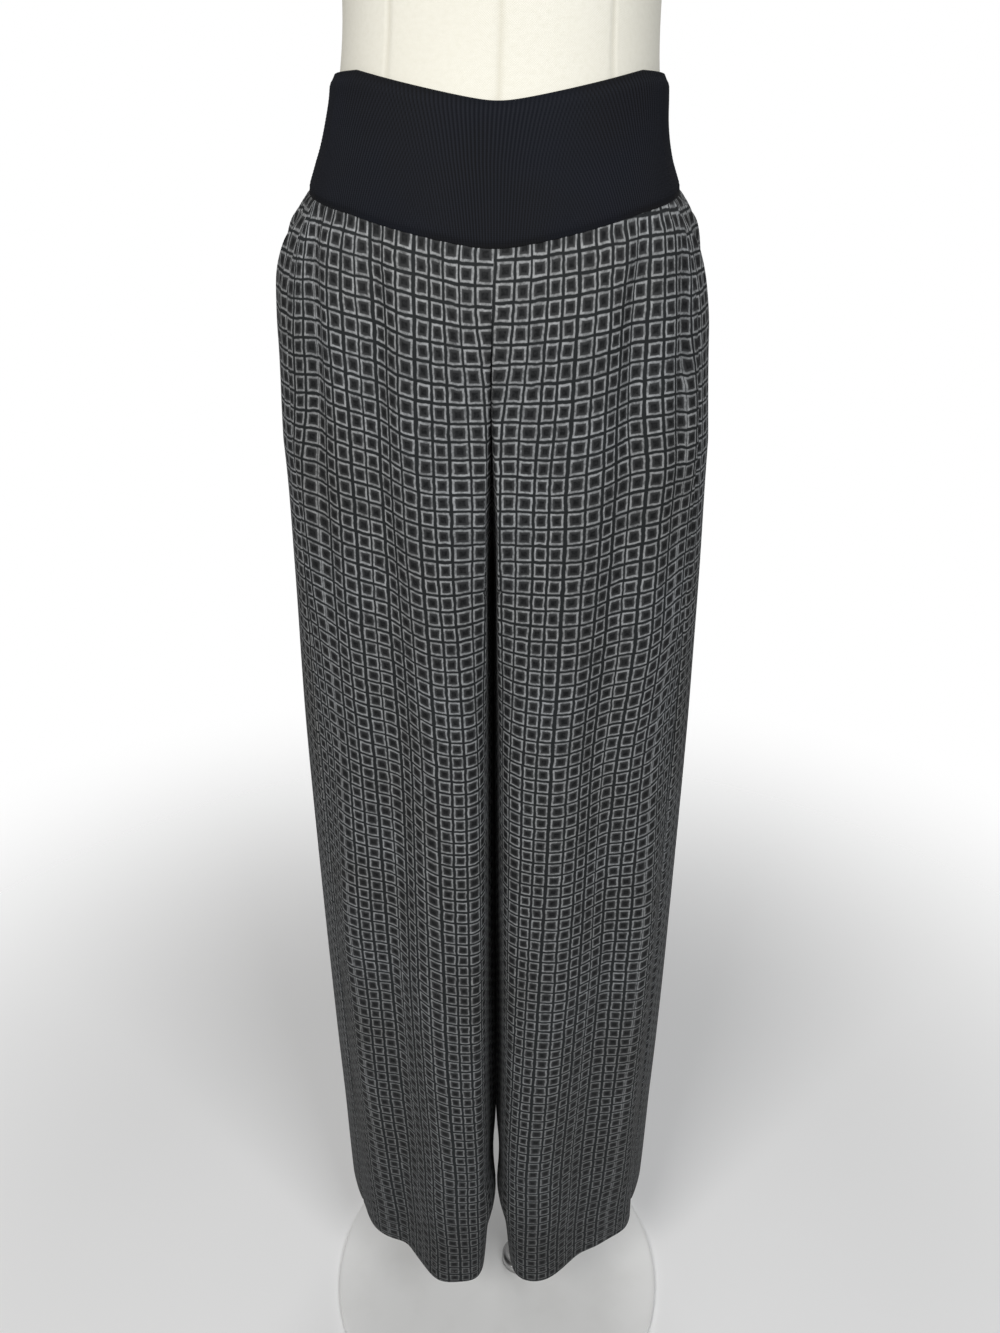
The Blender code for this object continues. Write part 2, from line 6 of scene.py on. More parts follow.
import bpy
import numpy as np
from mathutils import Euler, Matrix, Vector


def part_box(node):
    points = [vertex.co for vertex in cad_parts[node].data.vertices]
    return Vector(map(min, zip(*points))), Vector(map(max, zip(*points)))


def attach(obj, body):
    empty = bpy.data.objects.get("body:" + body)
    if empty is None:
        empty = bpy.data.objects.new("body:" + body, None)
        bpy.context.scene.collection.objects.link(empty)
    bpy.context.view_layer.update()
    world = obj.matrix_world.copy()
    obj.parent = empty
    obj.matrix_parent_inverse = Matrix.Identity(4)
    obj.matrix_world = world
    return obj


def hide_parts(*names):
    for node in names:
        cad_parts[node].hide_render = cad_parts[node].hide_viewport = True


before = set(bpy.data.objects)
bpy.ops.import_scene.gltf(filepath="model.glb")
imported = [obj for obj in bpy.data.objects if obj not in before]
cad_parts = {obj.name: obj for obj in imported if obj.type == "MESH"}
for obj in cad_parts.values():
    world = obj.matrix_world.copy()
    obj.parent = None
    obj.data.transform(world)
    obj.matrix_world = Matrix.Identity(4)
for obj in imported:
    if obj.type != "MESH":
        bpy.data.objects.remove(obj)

scene = bpy.context.scene
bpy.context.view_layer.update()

# What the garment's pieces share. Heights are above the floor.
garment = {
    "hem": float(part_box("front_right_leg")[0][2]),
    "crotch": 0.930,
    "fork": 1.100,               # the centre seams start to run in between the legs
    "tube": 0.760,               # the outer side has left the shape of the hips
    "seam": 1.1845,              # band to leg seam, at the sides and the back
    "seamDip": 0.0245,           # how far that seam drops at the centre front
    "sideRise": 0.0060,          # and how far it is pulled up at the sides and the back
    "top": 1.2540,               # top edge of the band, at the sides and the back
    "topDip": 0.0170,
    "level": 0.960,              # rows of cloth are level from here down
    "sideAngle": 65.5,           # the side seam on the hips, in degrees from the centre front
    "sideTurn": 138.0,           # and round the leg from the inseam, through the front
}


def inMetres(rows, plain=0):
    # a table's rows, written in mm, but for the last columns, which are plain numbers
    rows = np.array(rows, dtype=float)
    rows[:, :rows.shape[1] - plain] *= 0.001
    return rows


def readTable(rows, at):
    # a smooth curve through a table's rows by their first column: cubic pieces whose slopes are
    # the table's own differences; gives every other column at once
    xs, ys = rows[:, 0], rows[:, 1:]
    slopes = np.gradient(ys, xs, axis=0)
    at = np.clip(np.asarray(at, dtype=float), xs[0], xs[-1])
    index = np.clip(np.searchsorted(xs, at, side="right") - 1, 0, len(xs) - 2)
    step = (xs[index + 1] - xs[index])[..., None]
    t = (at - xs[index])[..., None] / step
    start = (1 + 2 * t) * (1 - t) ** 2 * ys[index] + t * (1 - t) ** 2 * step * slopes[index]
    end = t ** 2 * (3 - 2 * t) * ys[index + 1] + t ** 2 * (t - 1) * step * slopes[index + 1]
    return np.moveaxis(start + end, -1, 0)


# Every table is in mm, but for angles and shares, and starts with its lowest height or length.

# The form: a section at each height, as half width, depth of the front and of the back, and how
# square it is (2 is an ellipse).
formSections = inMetres((
    (1012, 90, 66, 80, 2.2), (1020, 112, 80, 95, 2.2), (1036, 127, 90, 105, 2.2),
    (1062, 137, 98.5, 112, 2.2), (1095, 141, 103, 115, 2.2), (1130, 138, 103, 112, 2.2),
    (1160, 130, 100, 106, 2.2), (1184.5, 121.5, 95.5, 98.5, 2.2), (1215, 109.5, 89, 88, 2.2),
    (1252, 101.5, 81.5, 78, 2.2), (1300, 98.2, 79, 74, 2.2), (1350, 102.5, 83, 78, 2.2),
    (1410, 115, 93, 86, 2.2), (1470, 129, 100, 93, 2.2), (1530, 143, 94, 96, 2.2),
    (1575, 152, 80, 93, 2.1), (1603, 156, 70, 87, 2), (1622, 153, 64, 81, 2),
    (1636, 144, 60, 76, 2), (1649, 128, 57, 71, 2), (1661, 106, 54.5, 66, 2),
    (1673, 84, 53, 61.5, 2), (1690, 64, 51, 56, 2), (1712, 55, 50, 52, 2), (1742, 53, 50, 51, 2),
), 1)
# How far the form leans towards the wearer's left, at each height.
formLean = inMetres((
    (1205, 0), (1228, 1.6), (1240, 2.8), (1255, 3.4), (1285, 4.5), (1350, 4.5), (1500, 2.5),
    (1640, 0), (1742, 0),
))


def signedPower(value, power):
    # the power of a value's size, with the value's sign
    return np.sign(value) * np.abs(value) ** power


def smooth(value):
    # 0 below 0, 1 above 1 and an S between
    value = np.clip(value, 0, 1)
    return value * value * (3.0 - 2.0 * value)


def bump(value):
    # a bell of height 1 and half width 1
    return np.exp(-value ** 2)


def frontDip(degrees, reach):
    # 1 at the centre front, falling almost straight to 0 at the reach
    softened = np.sqrt(degrees ** 2 + 16.0) - 4.0
    return np.clip(1 - softened / reach, 0, 1) ** 1.1


def seamShift(dip):
    # how far the band's seam lies over its plain height: up at the sides, down in front
    rise = garment["sideRise"] * np.clip((1 - dip) / 0.45, 0, 1)
    return rise - garment["seamDip"] * dip


def formPoint(degrees, height, growSide=0.0, growFront=0.0, growBack=0.0):
    # a superellipse whose half width and depth are the form's at that height, grown outwards
    turn = np.radians(degrees)
    width, front, back, square = readTable(formSections, height)
    power = 2.0 / square
    depth = np.where(np.cos(turn) > 0, front + growFront, back + growBack)
    x = (width + growSide) * signedPower(np.sin(turn), power) + readTable(formLean, height)[0]
    y = -depth * signedPower(np.cos(turn), power)
    return x, y


def runAlong(*axes):
    # each row's length up to each of its points
    steps = np.linalg.norm(np.diff(axes, axis=-1), axis=0)
    return np.concatenate([np.zeros((len(steps), 1)), np.cumsum(steps, axis=1)], axis=1)


def readRows(at, run, *values):
    # each row's own curve read at that row's lengths
    at = np.broadcast_to(at, (len(run), np.shape(at)[1]))
    return [np.stack([np.interp(a, r, v) for a, r, v in zip(at, run, value)])
            for value in values]


def gridFaces(rows, columns, closed=False):
    # quads of a grid of points, closed round its columns if asked
    index = np.arange(rows * columns).reshape(rows, columns)
    if closed:
        index = np.concatenate([index, index[:, :1]], axis=1)
    return np.stack([index[:-1, :-1], index[1:, :-1], index[1:, 1:], index[:-1, 1:]],
                    axis=-1).reshape(-1, 4)


def addObject(name, data):
    # an object at the origin, in the scene
    made = bpy.data.objects.new(name, data)
    scene.collection.objects.link(made)
    return made


def makePiece(name, points, faces, outward, materials, uv=None, marks=None, caps=()):
    # a mesh from grid points; outward is a direction at each point that its faces look along
    flat = points.reshape(-1, 3)
    corners = flat[faces]
    facing = np.cross(corners[:, 2] - corners[:, 0], corners[:, 3] - corners[:, 1])
    if (facing * outward.reshape(-1, 3)[faces[:, 0]]).sum() < 0:
        faces = faces[:, ::-1]
    mesh = bpy.data.meshes.new(name)
    mesh.from_pydata(flat.tolist(), [], faces.tolist() + [list(cap) for cap in caps])
    loops = np.zeros(len(mesh.loops), dtype=np.int32)
    mesh.loops.foreach_get("vertex_index", loops)
    if uv is not None:
        layer = mesh.uv_layers.new(name="cloth")
        layer.data.foreach_set("uv", uv.reshape(-1, 2)[loops].astype(np.float32).ravel())
    for key, value in (marks or {}).items():
        layer = mesh.attributes.new(key, "FLOAT", "POINT")
        layer.data.foreach_set("value", value.astype(np.float32).ravel())
    for material in materials:
        mesh.materials.append(material)
    mesh.shade_smooth()
    return addObject(name, mesh)


def finishPiece(piece, node):
    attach(piece, "root")
    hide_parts(node)
    print(piece.name, len(piece.data.polygons), "faces")
    return piece


def roundCorners(profile, steps=6):
    # each corner (radius from the axis, height, rounding) becomes a curve between the points
    # that lie the rounding away on both sides of it
    points = [profile[0][:2]]
    for before, here, after in zip(profile[:-2], profile[1:-1], profile[2:]):
        corner = np.array(here[:2])
        if here[2] <= 0:
            points.append(here[:2])
            continue
        back = np.array(before[:2]) - corner
        on = np.array(after[:2]) - corner
        start = corner + back / np.linalg.norm(back) * min(here[2], 0.49 * np.linalg.norm(back))
        end = corner + on / np.linalg.norm(on) * min(here[2], 0.49 * np.linalg.norm(on))
        t = np.linspace(0, 1, steps)[:, None]
        points += ((1 - t) ** 2 * start + 2 * t * (1 - t) * corner + t ** 2 * end).tolist()
    points.append(profile[-1][:2])
    return np.array(points)


def makeTurned(name, profile, place, material, steps):
    # a profile turned about an upright axis; a point on the axis becomes one small closed cap
    line = roundCorners(profile)
    turn = np.linspace(0, 2 * math.pi, steps, endpoint=False)
    radius = np.maximum(line[:, :1], 0.00005)
    points = np.stack([radius * np.cos(turn), radius * np.sin(turn),
                       np.broadcast_to(line[:, 1:], (len(line), steps))], axis=-1) + place
    slope = np.gradient(line, axis=0)
    outward = np.stack([-slope[:, 1:] * np.cos(turn), -slope[:, 1:] * np.sin(turn),
                        np.broadcast_to(slope[:, :1], (len(line), steps))], axis=-1)
    last = (len(line) - 1) * steps
    caps = (range(steps), range(last + steps - 1, last - 1, -1))
    return makePiece(name, points, gridFaces(len(line), steps, True), outward, [material],
                     caps=caps)


class Wire:
    # one socket of a material's nodes; sums and products of wires add Math nodes
    def __init__(self, shade, socket):
        self.shade = shade
        self.socket = socket

    def math(self, operation, *others, clamp=False):
        return self.shade.node("ShaderNodeMath", {"operation": operation, "use_clamp": clamp},
                               dict(enumerate((self, *others))))

    __add__ = __radd__ = partialmethod(math, "ADD")
    __mul__ = __rmul__ = partialmethod(math, "MULTIPLY")
    __sub__ = partialmethod(math, "SUBTRACT")
    __truediv__ = partialmethod(math, "DIVIDE")
    __abs__ = partialmethod(math, "ABSOLUTE")
    part = partialmethod(math, "FRACT")
    whole = partialmethod(math, "FLOOR")
    most = partialmethod(math, "MAXIMUM")
    least = partialmethod(math, "MINIMUM")
    over = partialmethod(math, "GREATER_THAN")
    sine = partialmethod(math, "SINE")
    clamped = partialmethod(math, "ADD", 0.0, clamp=True)

    def __rsub__(self, other):
        return (self * -1.0) + other

    def between(self, low, high):
        # 0 at low, 1 at high, smooth between
        return self.shade.node(
            "ShaderNodeMapRange", {"interpolation_type": "SMOOTHSTEP"},
            {"Value": self, "From Min": low, "From Max": high, "To Min": 0.0, "To Max": 1.0})


class Shade:
    # a material and the way to add nodes to it
    def __init__(self, name):
        self.material = bpy.data.materials.new(name)
        self.material.use_nodes = True
        self.tree = self.material.node_tree
        self.surface = self.tree.nodes["Principled BSDF"]

    def node(self, kind, settings=None, sockets=None, out=0):
        # a node's settings come before its sockets, since they decide which it has
        made = self.tree.nodes.new(kind)
        for name, value in (settings or {}).items():
            setattr(made, name, value)
        self.fill(made, sockets or {})
        return Wire(self, made.outputs[out])

    def fill(self, made, sockets):
        # a wire is linked and a value is set; a colour of three numbers is opaque
        for name, value in sockets.items():
            if isinstance(value, Wire):
                self.tree.links.new(value.socket, made.inputs[name])
            elif isinstance(value, tuple) and len(value) == 3 and made.inputs[name].type == "RGBA":
                made.inputs[name].default_value = (*value, 1.0)
            else:
                made.inputs[name].default_value = value

    def place(self):
        return self.node("ShaderNodeTexCoord", out="Object")

    def lengths(self):
        # how far a place lies across and down the cloth, in metres
        return self.parts(self.node("ShaderNodeUVMap", {"uv_map": "cloth"}))[:2]

    def chance(self, size, **sockets):
        # one number from 0 to 1 for each value of the sockets
        return self.node("ShaderNodeTexWhiteNoise", {"noise_dimensions": size}, sockets)

    def parts(self, vector):
        split = self.node("ShaderNodeSeparateXYZ", {}, {"Vector": vector}).socket.node
        return [Wire(self, output) for output in split.outputs]

    def join(self, x, y, z=0.0):
        return self.node("ShaderNodeCombineXYZ", {}, {"X": x, "Y": y, "Z": z})

    def noise(self, vector, scale, detail=2.0, roughness=0.5):
        return self.node("ShaderNodeTexNoise", {}, {
            "Vector": vector, "Scale": scale, "Detail": detail, "Roughness": roughness})

    def mix(self, share, first, second, blend="MIX"):
        return self.node("ShaderNodeMix", {"data_type": "RGBA", "blend_type": blend},
                         {"Factor": share, 6: first, 7: second}, out=2)

    def mark(self, name):
        return self.node("ShaderNodeAttribute", {"attribute_name": name}, out="Fac")

    def bumped(self, height, distance, strength):
        return self.node("ShaderNodeBump", {}, {
            "Height": height, "Distance": distance, "Strength": strength})

    def finish(self, **sockets):
        self.fill(self.surface, {name.replace("_", " "): value for name, value in sockets.items()})
        return self.material


# The print: rows of thin hand-drawn squares, light on dark.
printSizes = {
    "pitchAcross": 0.0114, "pitchDown": 0.0120,
    "startAcross": {"right": 0.0070, "left": 0.0040},    # a gap's middle, from the centre seam
    "startDown": 0.0077,
    "half": 0.424,               # of the pitch, from a square's middle to its outer edge
    "wider": 0.955,              # distances across count this much, so squares are wider
    "taller": 0.97,              # and down at least this much
    "line": 0.112,               # of the pitch, the drawn line
    "soft": 0.034,
    "inkSoft": 0.042,            # of the pitch, the line's softer inner edge
    "uneven": 0.10,              # how unlike the squares' sizes are
    "narrow": 0.30,              # how much narrower the narrowest column of squares is drawn
    "sway": 0.12,                # of the pitch, how far a column is drawn off its middle
    "wobble": 0.0010,            # how far a line strays, in metres
    "inside": (0.0380, 0.0395, 0.0415),
    "centre": (0.0080, 0.0086, 0.0095),
    "gap": (0.0185, 0.0208, 0.0224),
    "ink": (0.392, 0.407, 0.421),
    "corner": (0.18, 0.33),      # of the pitch, where strokes meet and take more ink
    "hollow": (0.12, 0.25),      # of the pitch, the darker middle of a square
    "inkPaintedShade": ((0.25, 1.10, 0.50), (0.85, 1.12, 0.12)),    # painted shade: the ink dims below the band: from, to, how much
    # painted shade: the cloth darkens towards the hem, below the band: from, to, how much
    "clothPaintedShade": (0.75, 1.12, 0.22),
    "dull": (0.78, 0.76, 0.73),  # tints that darken the cloth: in patches its own uneven tone, towards the hem painted shade
    "low": (0.30, 0.29, 0.27),
    "thread": 0.00042,
    "floorDown": 1.160,          # how far down the print the cloth would reach the floor
    "hemLine": 0.020,            # the hem's stitches, up from the fold
    "stitchWidth": (0.0003, 0.0008),
    "stitchPitch": 0.0034,
    "stitch": (0.16, 0.16, 0.16),
    "groove": 0.0022,            # the hem's cloth dips this far round the stitches
}


def clothMaterial(name, show=1.0):
    # a square's line lies where the larger of the two distances to its middle is large; every
    # square, each of its four strokes and every patch of cloth takes the ink its own way; show
    # fades the print on the reverse; towards the hem the ink and the cloth are darkened as
    # painted shade
    s = printSizes
    shade = Shade(name)
    across, down = shade.lengths()
    uv = shade.join(across, down)
    waver = shade.noise(uv, 120.0)
    sway = shade.noise(shade.join(down, across, 0.7), 135.0)
    cellAcross = (across + (waver - 0.5) * (2 * s["wobble"])) / s["pitchAcross"]
    cellDown = (down - s["startDown"] + (sway - 0.5) * (2 * s["wobble"])) / s["pitchDown"]
    column, row = cellAcross.whole(), cellDown.whole()
    narrow = shade.chance("1D", W=column)
    middle = (shade.chance("1D", W=column + 0.5) - 0.5) * s["sway"] + 0.5
    own = shade.chance("2D", Vector=shade.join(column, row))
    offAcross = abs(cellAcross.part() - middle) * (narrow * narrow * s["narrow"] + s["wider"])
    offDown = abs(cellDown.part() - 0.5) * (own * s["uneven"] + s["taller"])
    off = offAcross.most(offDown)
    outer = 1 - off.between(s["half"] - s["soft"], s["half"] + s["soft"])
    lineEdge = s["half"] - s["line"]
    drawn = outer * off.between(lineEdge - s["inkSoft"], lineEdge + s["inkSoft"])
    wide = offAcross.over(offDown)
    side = wide * 2.0 + cellAcross.part().over(middle) * wide
    side = side + cellDown.part().over(0.5) * (1 - wide)
    stroke = shade.chance("3D", Vector=shade.join(column, row, side))
    patch = shade.noise(uv, 300.0, 3.0, 0.6).between(0.30, 0.70)
    corner = offAcross.least(offDown).between(*s["corner"])
    ink = (patch * 0.50 + own * 0.18 + stroke * 0.28 + corner * 0.20 + 0.12).clamped()
    # painted shade: the print's ink dims towards the hem
    fade = 1.0
    for start, end, share in s["inkPaintedShade"]:
        fade = fade - down.between(start, end) * share
    threads = shade.noise(uv, 1 / s["thread"], 1.0, 0.6)
    mottle = shade.noise(uv, 420.0).between(0.3, 0.7) * 0.4 + 0.6
    hollow = (1 - off.between(*s["hollow"])) * mottle
    plain = shade.mix(outer, s["gap"], shade.mix(hollow, s["inside"], s["centre"]))
    patchesAndPaintedShade = shade.mix(shade.noise(uv, 9.0, 3.0).between(0.2, 0.8), s["dull"], (1.0, 1.0, 1.0))
    # painted shade: the cloth darkens towards the hem, by the low tint
    start, end, share = s["clothPaintedShade"]
    patchesAndPaintedShade = shade.mix(down.between(start, end) * share, patchesAndPaintedShade, s["low"])
    cover = (drawn * ink * fade * (threads * 0.5 + 0.72) * show).clamped()
    colour = shade.mix(1.0, shade.mix(cover, plain, s["ink"]), patchesAndPaintedShade, "MULTIPLY")
    fromHem = abs(down - (s["floorDown"] - garment["hem"] - s["hemLine"]))
    row = 1 - fromHem.between(*s["stitchWidth"])
    stitch = row * (across * (1 / s["stitchPitch"])).part().between(0.25, 0.40) * show
    colour = shade.mix(stitch * 0.5, colour, s["stitch"])
    groove = 1 - fromHem.between(0.0, s["groove"])
    return shade.finish(
        Base_Color=colour, Roughness=threads * 0.12 + 0.70,
        Normal=shade.bumped(threads * 0.05 - groove * 0.5, 0.0009, 0.7),
        Sheen_Weight=0.02, Sheen_Roughness=0.45, Specular_IOR_Level=0.12)


def knitMaterial(name):
    # fine knit: small rounded loops in columns along the ribs, with a painted highlight on their
    # ridges
    shade = Shade(name)
    across, down = shade.lengths()
    uv = shade.join(across, down)
    loops = (down * (2 * math.pi / 0.0011)).sine() * 0.5 + 0.5
    fuzz = shade.noise(uv, 1800.0)
    broad = shade.noise(uv, 14.0, 3.0)
    rib = shade.mark("rib")
    colour = shade.mix(broad.between(0.35, 0.65), (0.0032, 0.0031, 0.0036),
                       (0.0027, 0.0036, 0.0068))
    # painted highlight: the ribs' ridges are lighter
    colour = shade.mix(rib, colour, (0.0118, 0.0131, 0.0180))
    height = loops * 0.3 + fuzz * 0.5
    return shade.finish(
        Base_Color=colour, Roughness=fuzz * 0.1 + 0.78, Normal=shade.bumped(height, 0.0003, 0.6),
        Sheen_Weight=0.02, Sheen_Roughness=0.5, Specular_IOR_Level=0.12)


def coverMaterial(name):
    # cream cotton over the form: a fine upright and level weave, darker in its seams
    shade = Shade(name)
    across, down = shade.lengths()
    warp = (across * (2 * math.pi / 0.0012)).sine()
    weft = (down * (2 * math.pi / 0.0012)).sine()
    slub = shade.noise(shade.join(across * 260.0, down * 340.0), 1.0, 4.0)
    broad = shade.noise(shade.join(across, down), 7.0, 3.0)
    colour = shade.mix(broad.between(0.2, 0.8), (0.762, 0.739, 0.647), (0.808, 0.787, 0.701))
    colour = shade.mix(slub.between(0.35, 0.75) * 0.35, colour, (0.710, 0.685, 0.585))
    seam = shade.mark("seam")
    colour = shade.mix(seam * 0.55, colour, (0.600, 0.570, 0.470))
    height = warp * weft * 0.25 + slub * 0.5
    return shade.finish(
        Base_Color=colour, Roughness=slub * 0.1 + 0.80, Normal=shade.bumped(height, 0.0003, 0.6),
        Sheen_Weight=0.10, Specular_IOR_Level=0.30)


def paintMaterial(name):
    # white satin paint with faint orange-peel
    shade = Shade(name)
    place = shade.place()
    peel = shade.noise(place, 700.0)
    rub = shade.noise(place, 22.0, 4.0)
    colour = shade.mix(rub.between(0.4, 0.8), (0.840, 0.840, 0.830), (0.800, 0.798, 0.785))
    return shade.finish(
        Base_Color=colour, Roughness=rub * 0.15 + 0.28, Normal=shade.bumped(peel, 0.00008, 0.5),
        Coat_Weight=0.15, Coat_Roughness=0.2)


def steelMaterial(name):
    # brushed steel: streaks round the rod
    shade = Shade(name)
    x, y, z = shade.parts(shade.place())
    streaks = shade.noise(shade.join(x * 20.0, y * 20.0, z * 2600.0), 1.0, 3.0)
    smear = shade.noise(shade.join(x, y, z), 30.0, 3.0)
    colour = shade.mix(smear.between(0.3, 0.8), (0.640, 0.640, 0.640), (0.560, 0.555, 0.545))
    return shade.finish(
        Base_Color=colour, Metallic=1.0, Roughness=streaks * 0.18 + 0.20,
        Normal=shade.bumped(streaks, 0.00005, 0.4))


def woodMaterial(name):
    # varnished beech: long grain with small dark flecks
    shade = Shade(name)
    x, y, z = shade.parts(shade.place())
    grain = shade.noise(shade.join(x * 220.0, y * 14.0, z * 220.0), 1.0, 4.0, 0.6)
    fleck = shade.noise(shade.join(x * 900.0, y * 110.0, z * 900.0), 1.0)
    colour = shade.mix(grain.between(0.3, 0.7), (0.520, 0.330, 0.170), (0.400, 0.230, 0.105))
    colour = shade.mix(fleck.between(0.62, 0.75) * 0.6, colour, (0.240, 0.130, 0.060))
    return shade.finish(
        Base_Color=colour, Roughness=grain * 0.15 + 0.30, Normal=shade.bumped(grain, 0.0001, 0.4),
        Coat_Weight=0.4, Coat_Roughness=0.15)


printedCloth = clothMaterial("printed_cloth")
clothReverse = clothMaterial("printed_cloth_reverse", 0.16)
ribKnit = knitMaterial("rib_knit")
formCover = coverMaterial("form_cover")
whitePaint = paintMaterial("painted_base")
brushedSteel = steelMaterial("stand_metal")
capWood = woodMaterial("neck_wood")
print("materials made")


# The form's cover.
cover = {
    "columns": 288, "rings": 220,
    "bustHeight": 1.468, "bustSide": 0.066, "bustWidth": 0.050, "bustRaise": 0.026,
    "seamWidth": 0.0011, "seamDepth": 0.0009,
    "sideSeam": 88.0,            # degrees from the centre front
    "uvRadius": 0.10,
}
# Long seams of the cover, at each height: degrees from the centre front and from the centre back.
coverSeams = inMetres((
    (1012, 38, 36), (1150, 37, 33), (1270, 38.5, 30), (1380, 38.5, 30), (1468, 40, 33),
    (1560, 36, 36), (1640, 30, 32), (1742, 26, 28),
), 2)


def buildForm():
    # sections up the form, pushed out by two bells for the bust, and in along the cover's seams
    lift = np.linspace(0, 1, cover["rings"])[:, None]
    low, high = formSections[0][0], formSections[-1][0]
    height = low + (high - low) * lift
    degrees = np.linspace(-180.0, 180.0, cover["columns"], endpoint=False)[None, :]
    height, degrees = np.broadcast_arrays(height, degrees)
    x, y = formPoint(degrees, height)
    near = bump((np.abs(x) - cover["bustSide"]) / cover["bustWidth"])
    near = near * bump((height - cover["bustHeight"]) / cover["bustWidth"])
    y = y - cover["bustRaise"] * near * np.clip(np.cos(np.radians(degrees)), 0, 1)
    front, back = readTable(coverSeams, height)
    radius = np.hypot(x, y)
    around = np.abs(degrees)
    seams = (around, 180.0 - around, around - front, 180.0 - around - back,
             around - cover["sideSeam"])
    groove = sum(bump(np.radians(off) * radius / cover["seamWidth"]) for off in seams)
    groove = np.clip(groove, 0, 1)
    depth = 1 - cover["seamDepth"] * groove / radius
    points = np.stack([x * depth, y * depth, height], axis=-1)
    outward = np.stack([x, y, np.zeros_like(x)], axis=-1)
    uv = np.stack([np.radians(degrees) * cover["uvRadius"], height], axis=-1)
    count = cover["columns"]
    last = (cover["rings"] - 1) * count
    caps = (range(count), range(last + count - 1, last - 1, -1))
    piece = makePiece("form_cover_body", points, gridFaces(*x.shape, True), outward, [formCover],
                      uv, {"seam": groove}, caps)
    finishPiece(piece, "dress_form")


buildForm()


# The waistband.
band = {
    "rib": 0.0026,               # from rib to rib at the top edge, in front
    "fan": {"front": 0.60, "back": 0.0},    # how much closer they stand at the seam
    "columns": {"front": 800, "back": 1000},
    "gap": 0.0005,               # between the knit and the form
    "thick": 0.0022,
    "raise": 0.0007,
    "flare": 0.0026,             # how much further out the top edge stands at the sides
    "rows": 34,
    "plain": 0.0050,             # the ribs fade out this far above the leg seam
    "roll": 0.0070,              # the top edge rolls in over this height
    "rounded": 0.7,              # under 1 makes the ribs rounder than a plain wave
    "pinch": 0.25,               # the knit is this much thinner at the leg seam
    "pinchHeight": 0.0035,
    "uvRadius": 0.11,
}


def buildBand(name, node, start, end, half):
    # one closed outline, up the outside, over the folded top and down the inside, is carried
    # round the form; the ribs are rounded ridges on its outside and over its top, which lean in
    # towards the middle of the front on their way down
    rows, thick = band["rows"], band["thick"]
    degrees = np.linspace(start, end, band["columns"][half] + 1)
    up = np.concatenate([np.zeros(2), np.linspace(0, 1, rows), np.ones(6),
                         np.linspace(1, 0, 6)])[:, None]
    over = np.concatenate([np.zeros(rows + 2), np.linspace(0, 1, 8)[1:-1], np.ones(6)])[:, None]
    outside = 0.5 + 0.5 * np.cos(math.pi * over)             # 1 outside, 0 inside
    outside[0] = 0.45
    crown = np.sin(math.pi * over) * 0.5 * thick
    around = np.abs((degrees + 180.0) % 360.0 - 180.0)[None, :]
    low = garment["seam"] + seamShift(frontDip(around, 90.0))
    high = garment["top"] - garment["topDip"] * frontDip(around, 50.0) - 0.5 * thick
    height = low + (high - low) * up + crown
    turns = np.broadcast_to(degrees[None, :], height.shape)
    run = runAlong(*formPoint(turns, height))
    run = (run - run[:, len(degrees) // 2, None]) * (1 + band["fan"][half] * (1 - up))
    rib = (0.5 - 0.5 * np.cos(2 * math.pi * run / band["rib"])) ** band["rounded"]
    fromSeam = (high - low) * up
    shown = smooth(fromSeam / band["plain"]) * (0.35 + 0.65 * smooth((1 - up) * 12.0 + 0.3))
    fullness = 1 - band["pinch"] * bump(fromSeam / band["pinchHeight"])
    rolled = smooth((fromSeam - (high - low) + band["roll"]) / band["roll"]) ** 1.5
    stand = band["flare"] * (up ** 1.6 - 0.85 * rolled)
    lift = band["gap"] + outside * (thick * fullness + band["raise"] * rib * shown)
    x, y = formPoint(turns, height, lift + stand, lift + 0.4 * stand, lift + 0.5 * stand)
    points = np.stack([x, y, height], axis=-1)
    outward = np.stack([x, y, 0.0 * x], axis=-1) * np.sign(outside - 0.5 + 1e-6)[..., None]
    outward = outward + np.array([0.0, 0.0, 0.2]) * crown[..., None] / thick
    uv = np.stack([np.radians(turns) * band["uvRadius"], height], axis=-1)
    count = len(degrees)
    index = np.arange(len(up) * count).reshape(len(up), count)
    faces = gridFaces(len(up) + 1, count)
    faces = np.where(faces >= index.size, faces - index.size, faces)    # the last row is the first
    ends = (index[:, 0], index[::-1, -1])
    # the rib mark, highest on the ridges of the outside, carries the knit's painted highlight
    piece = makePiece(name, points, faces, outward, [ribKnit], uv,
                      {"rib": np.broadcast_to(rib * shown * outside, height.shape)}, ends)
    return finishPiece(piece, node)


bandFront = buildBand("band_front", "waistband_front", -garment["sideAngle"],
                      garment["sideAngle"], "front")
bandBack = buildBand("band_back", "waistband_back", garment["sideAngle"],
                     360.0 - garment["sideAngle"], "back")


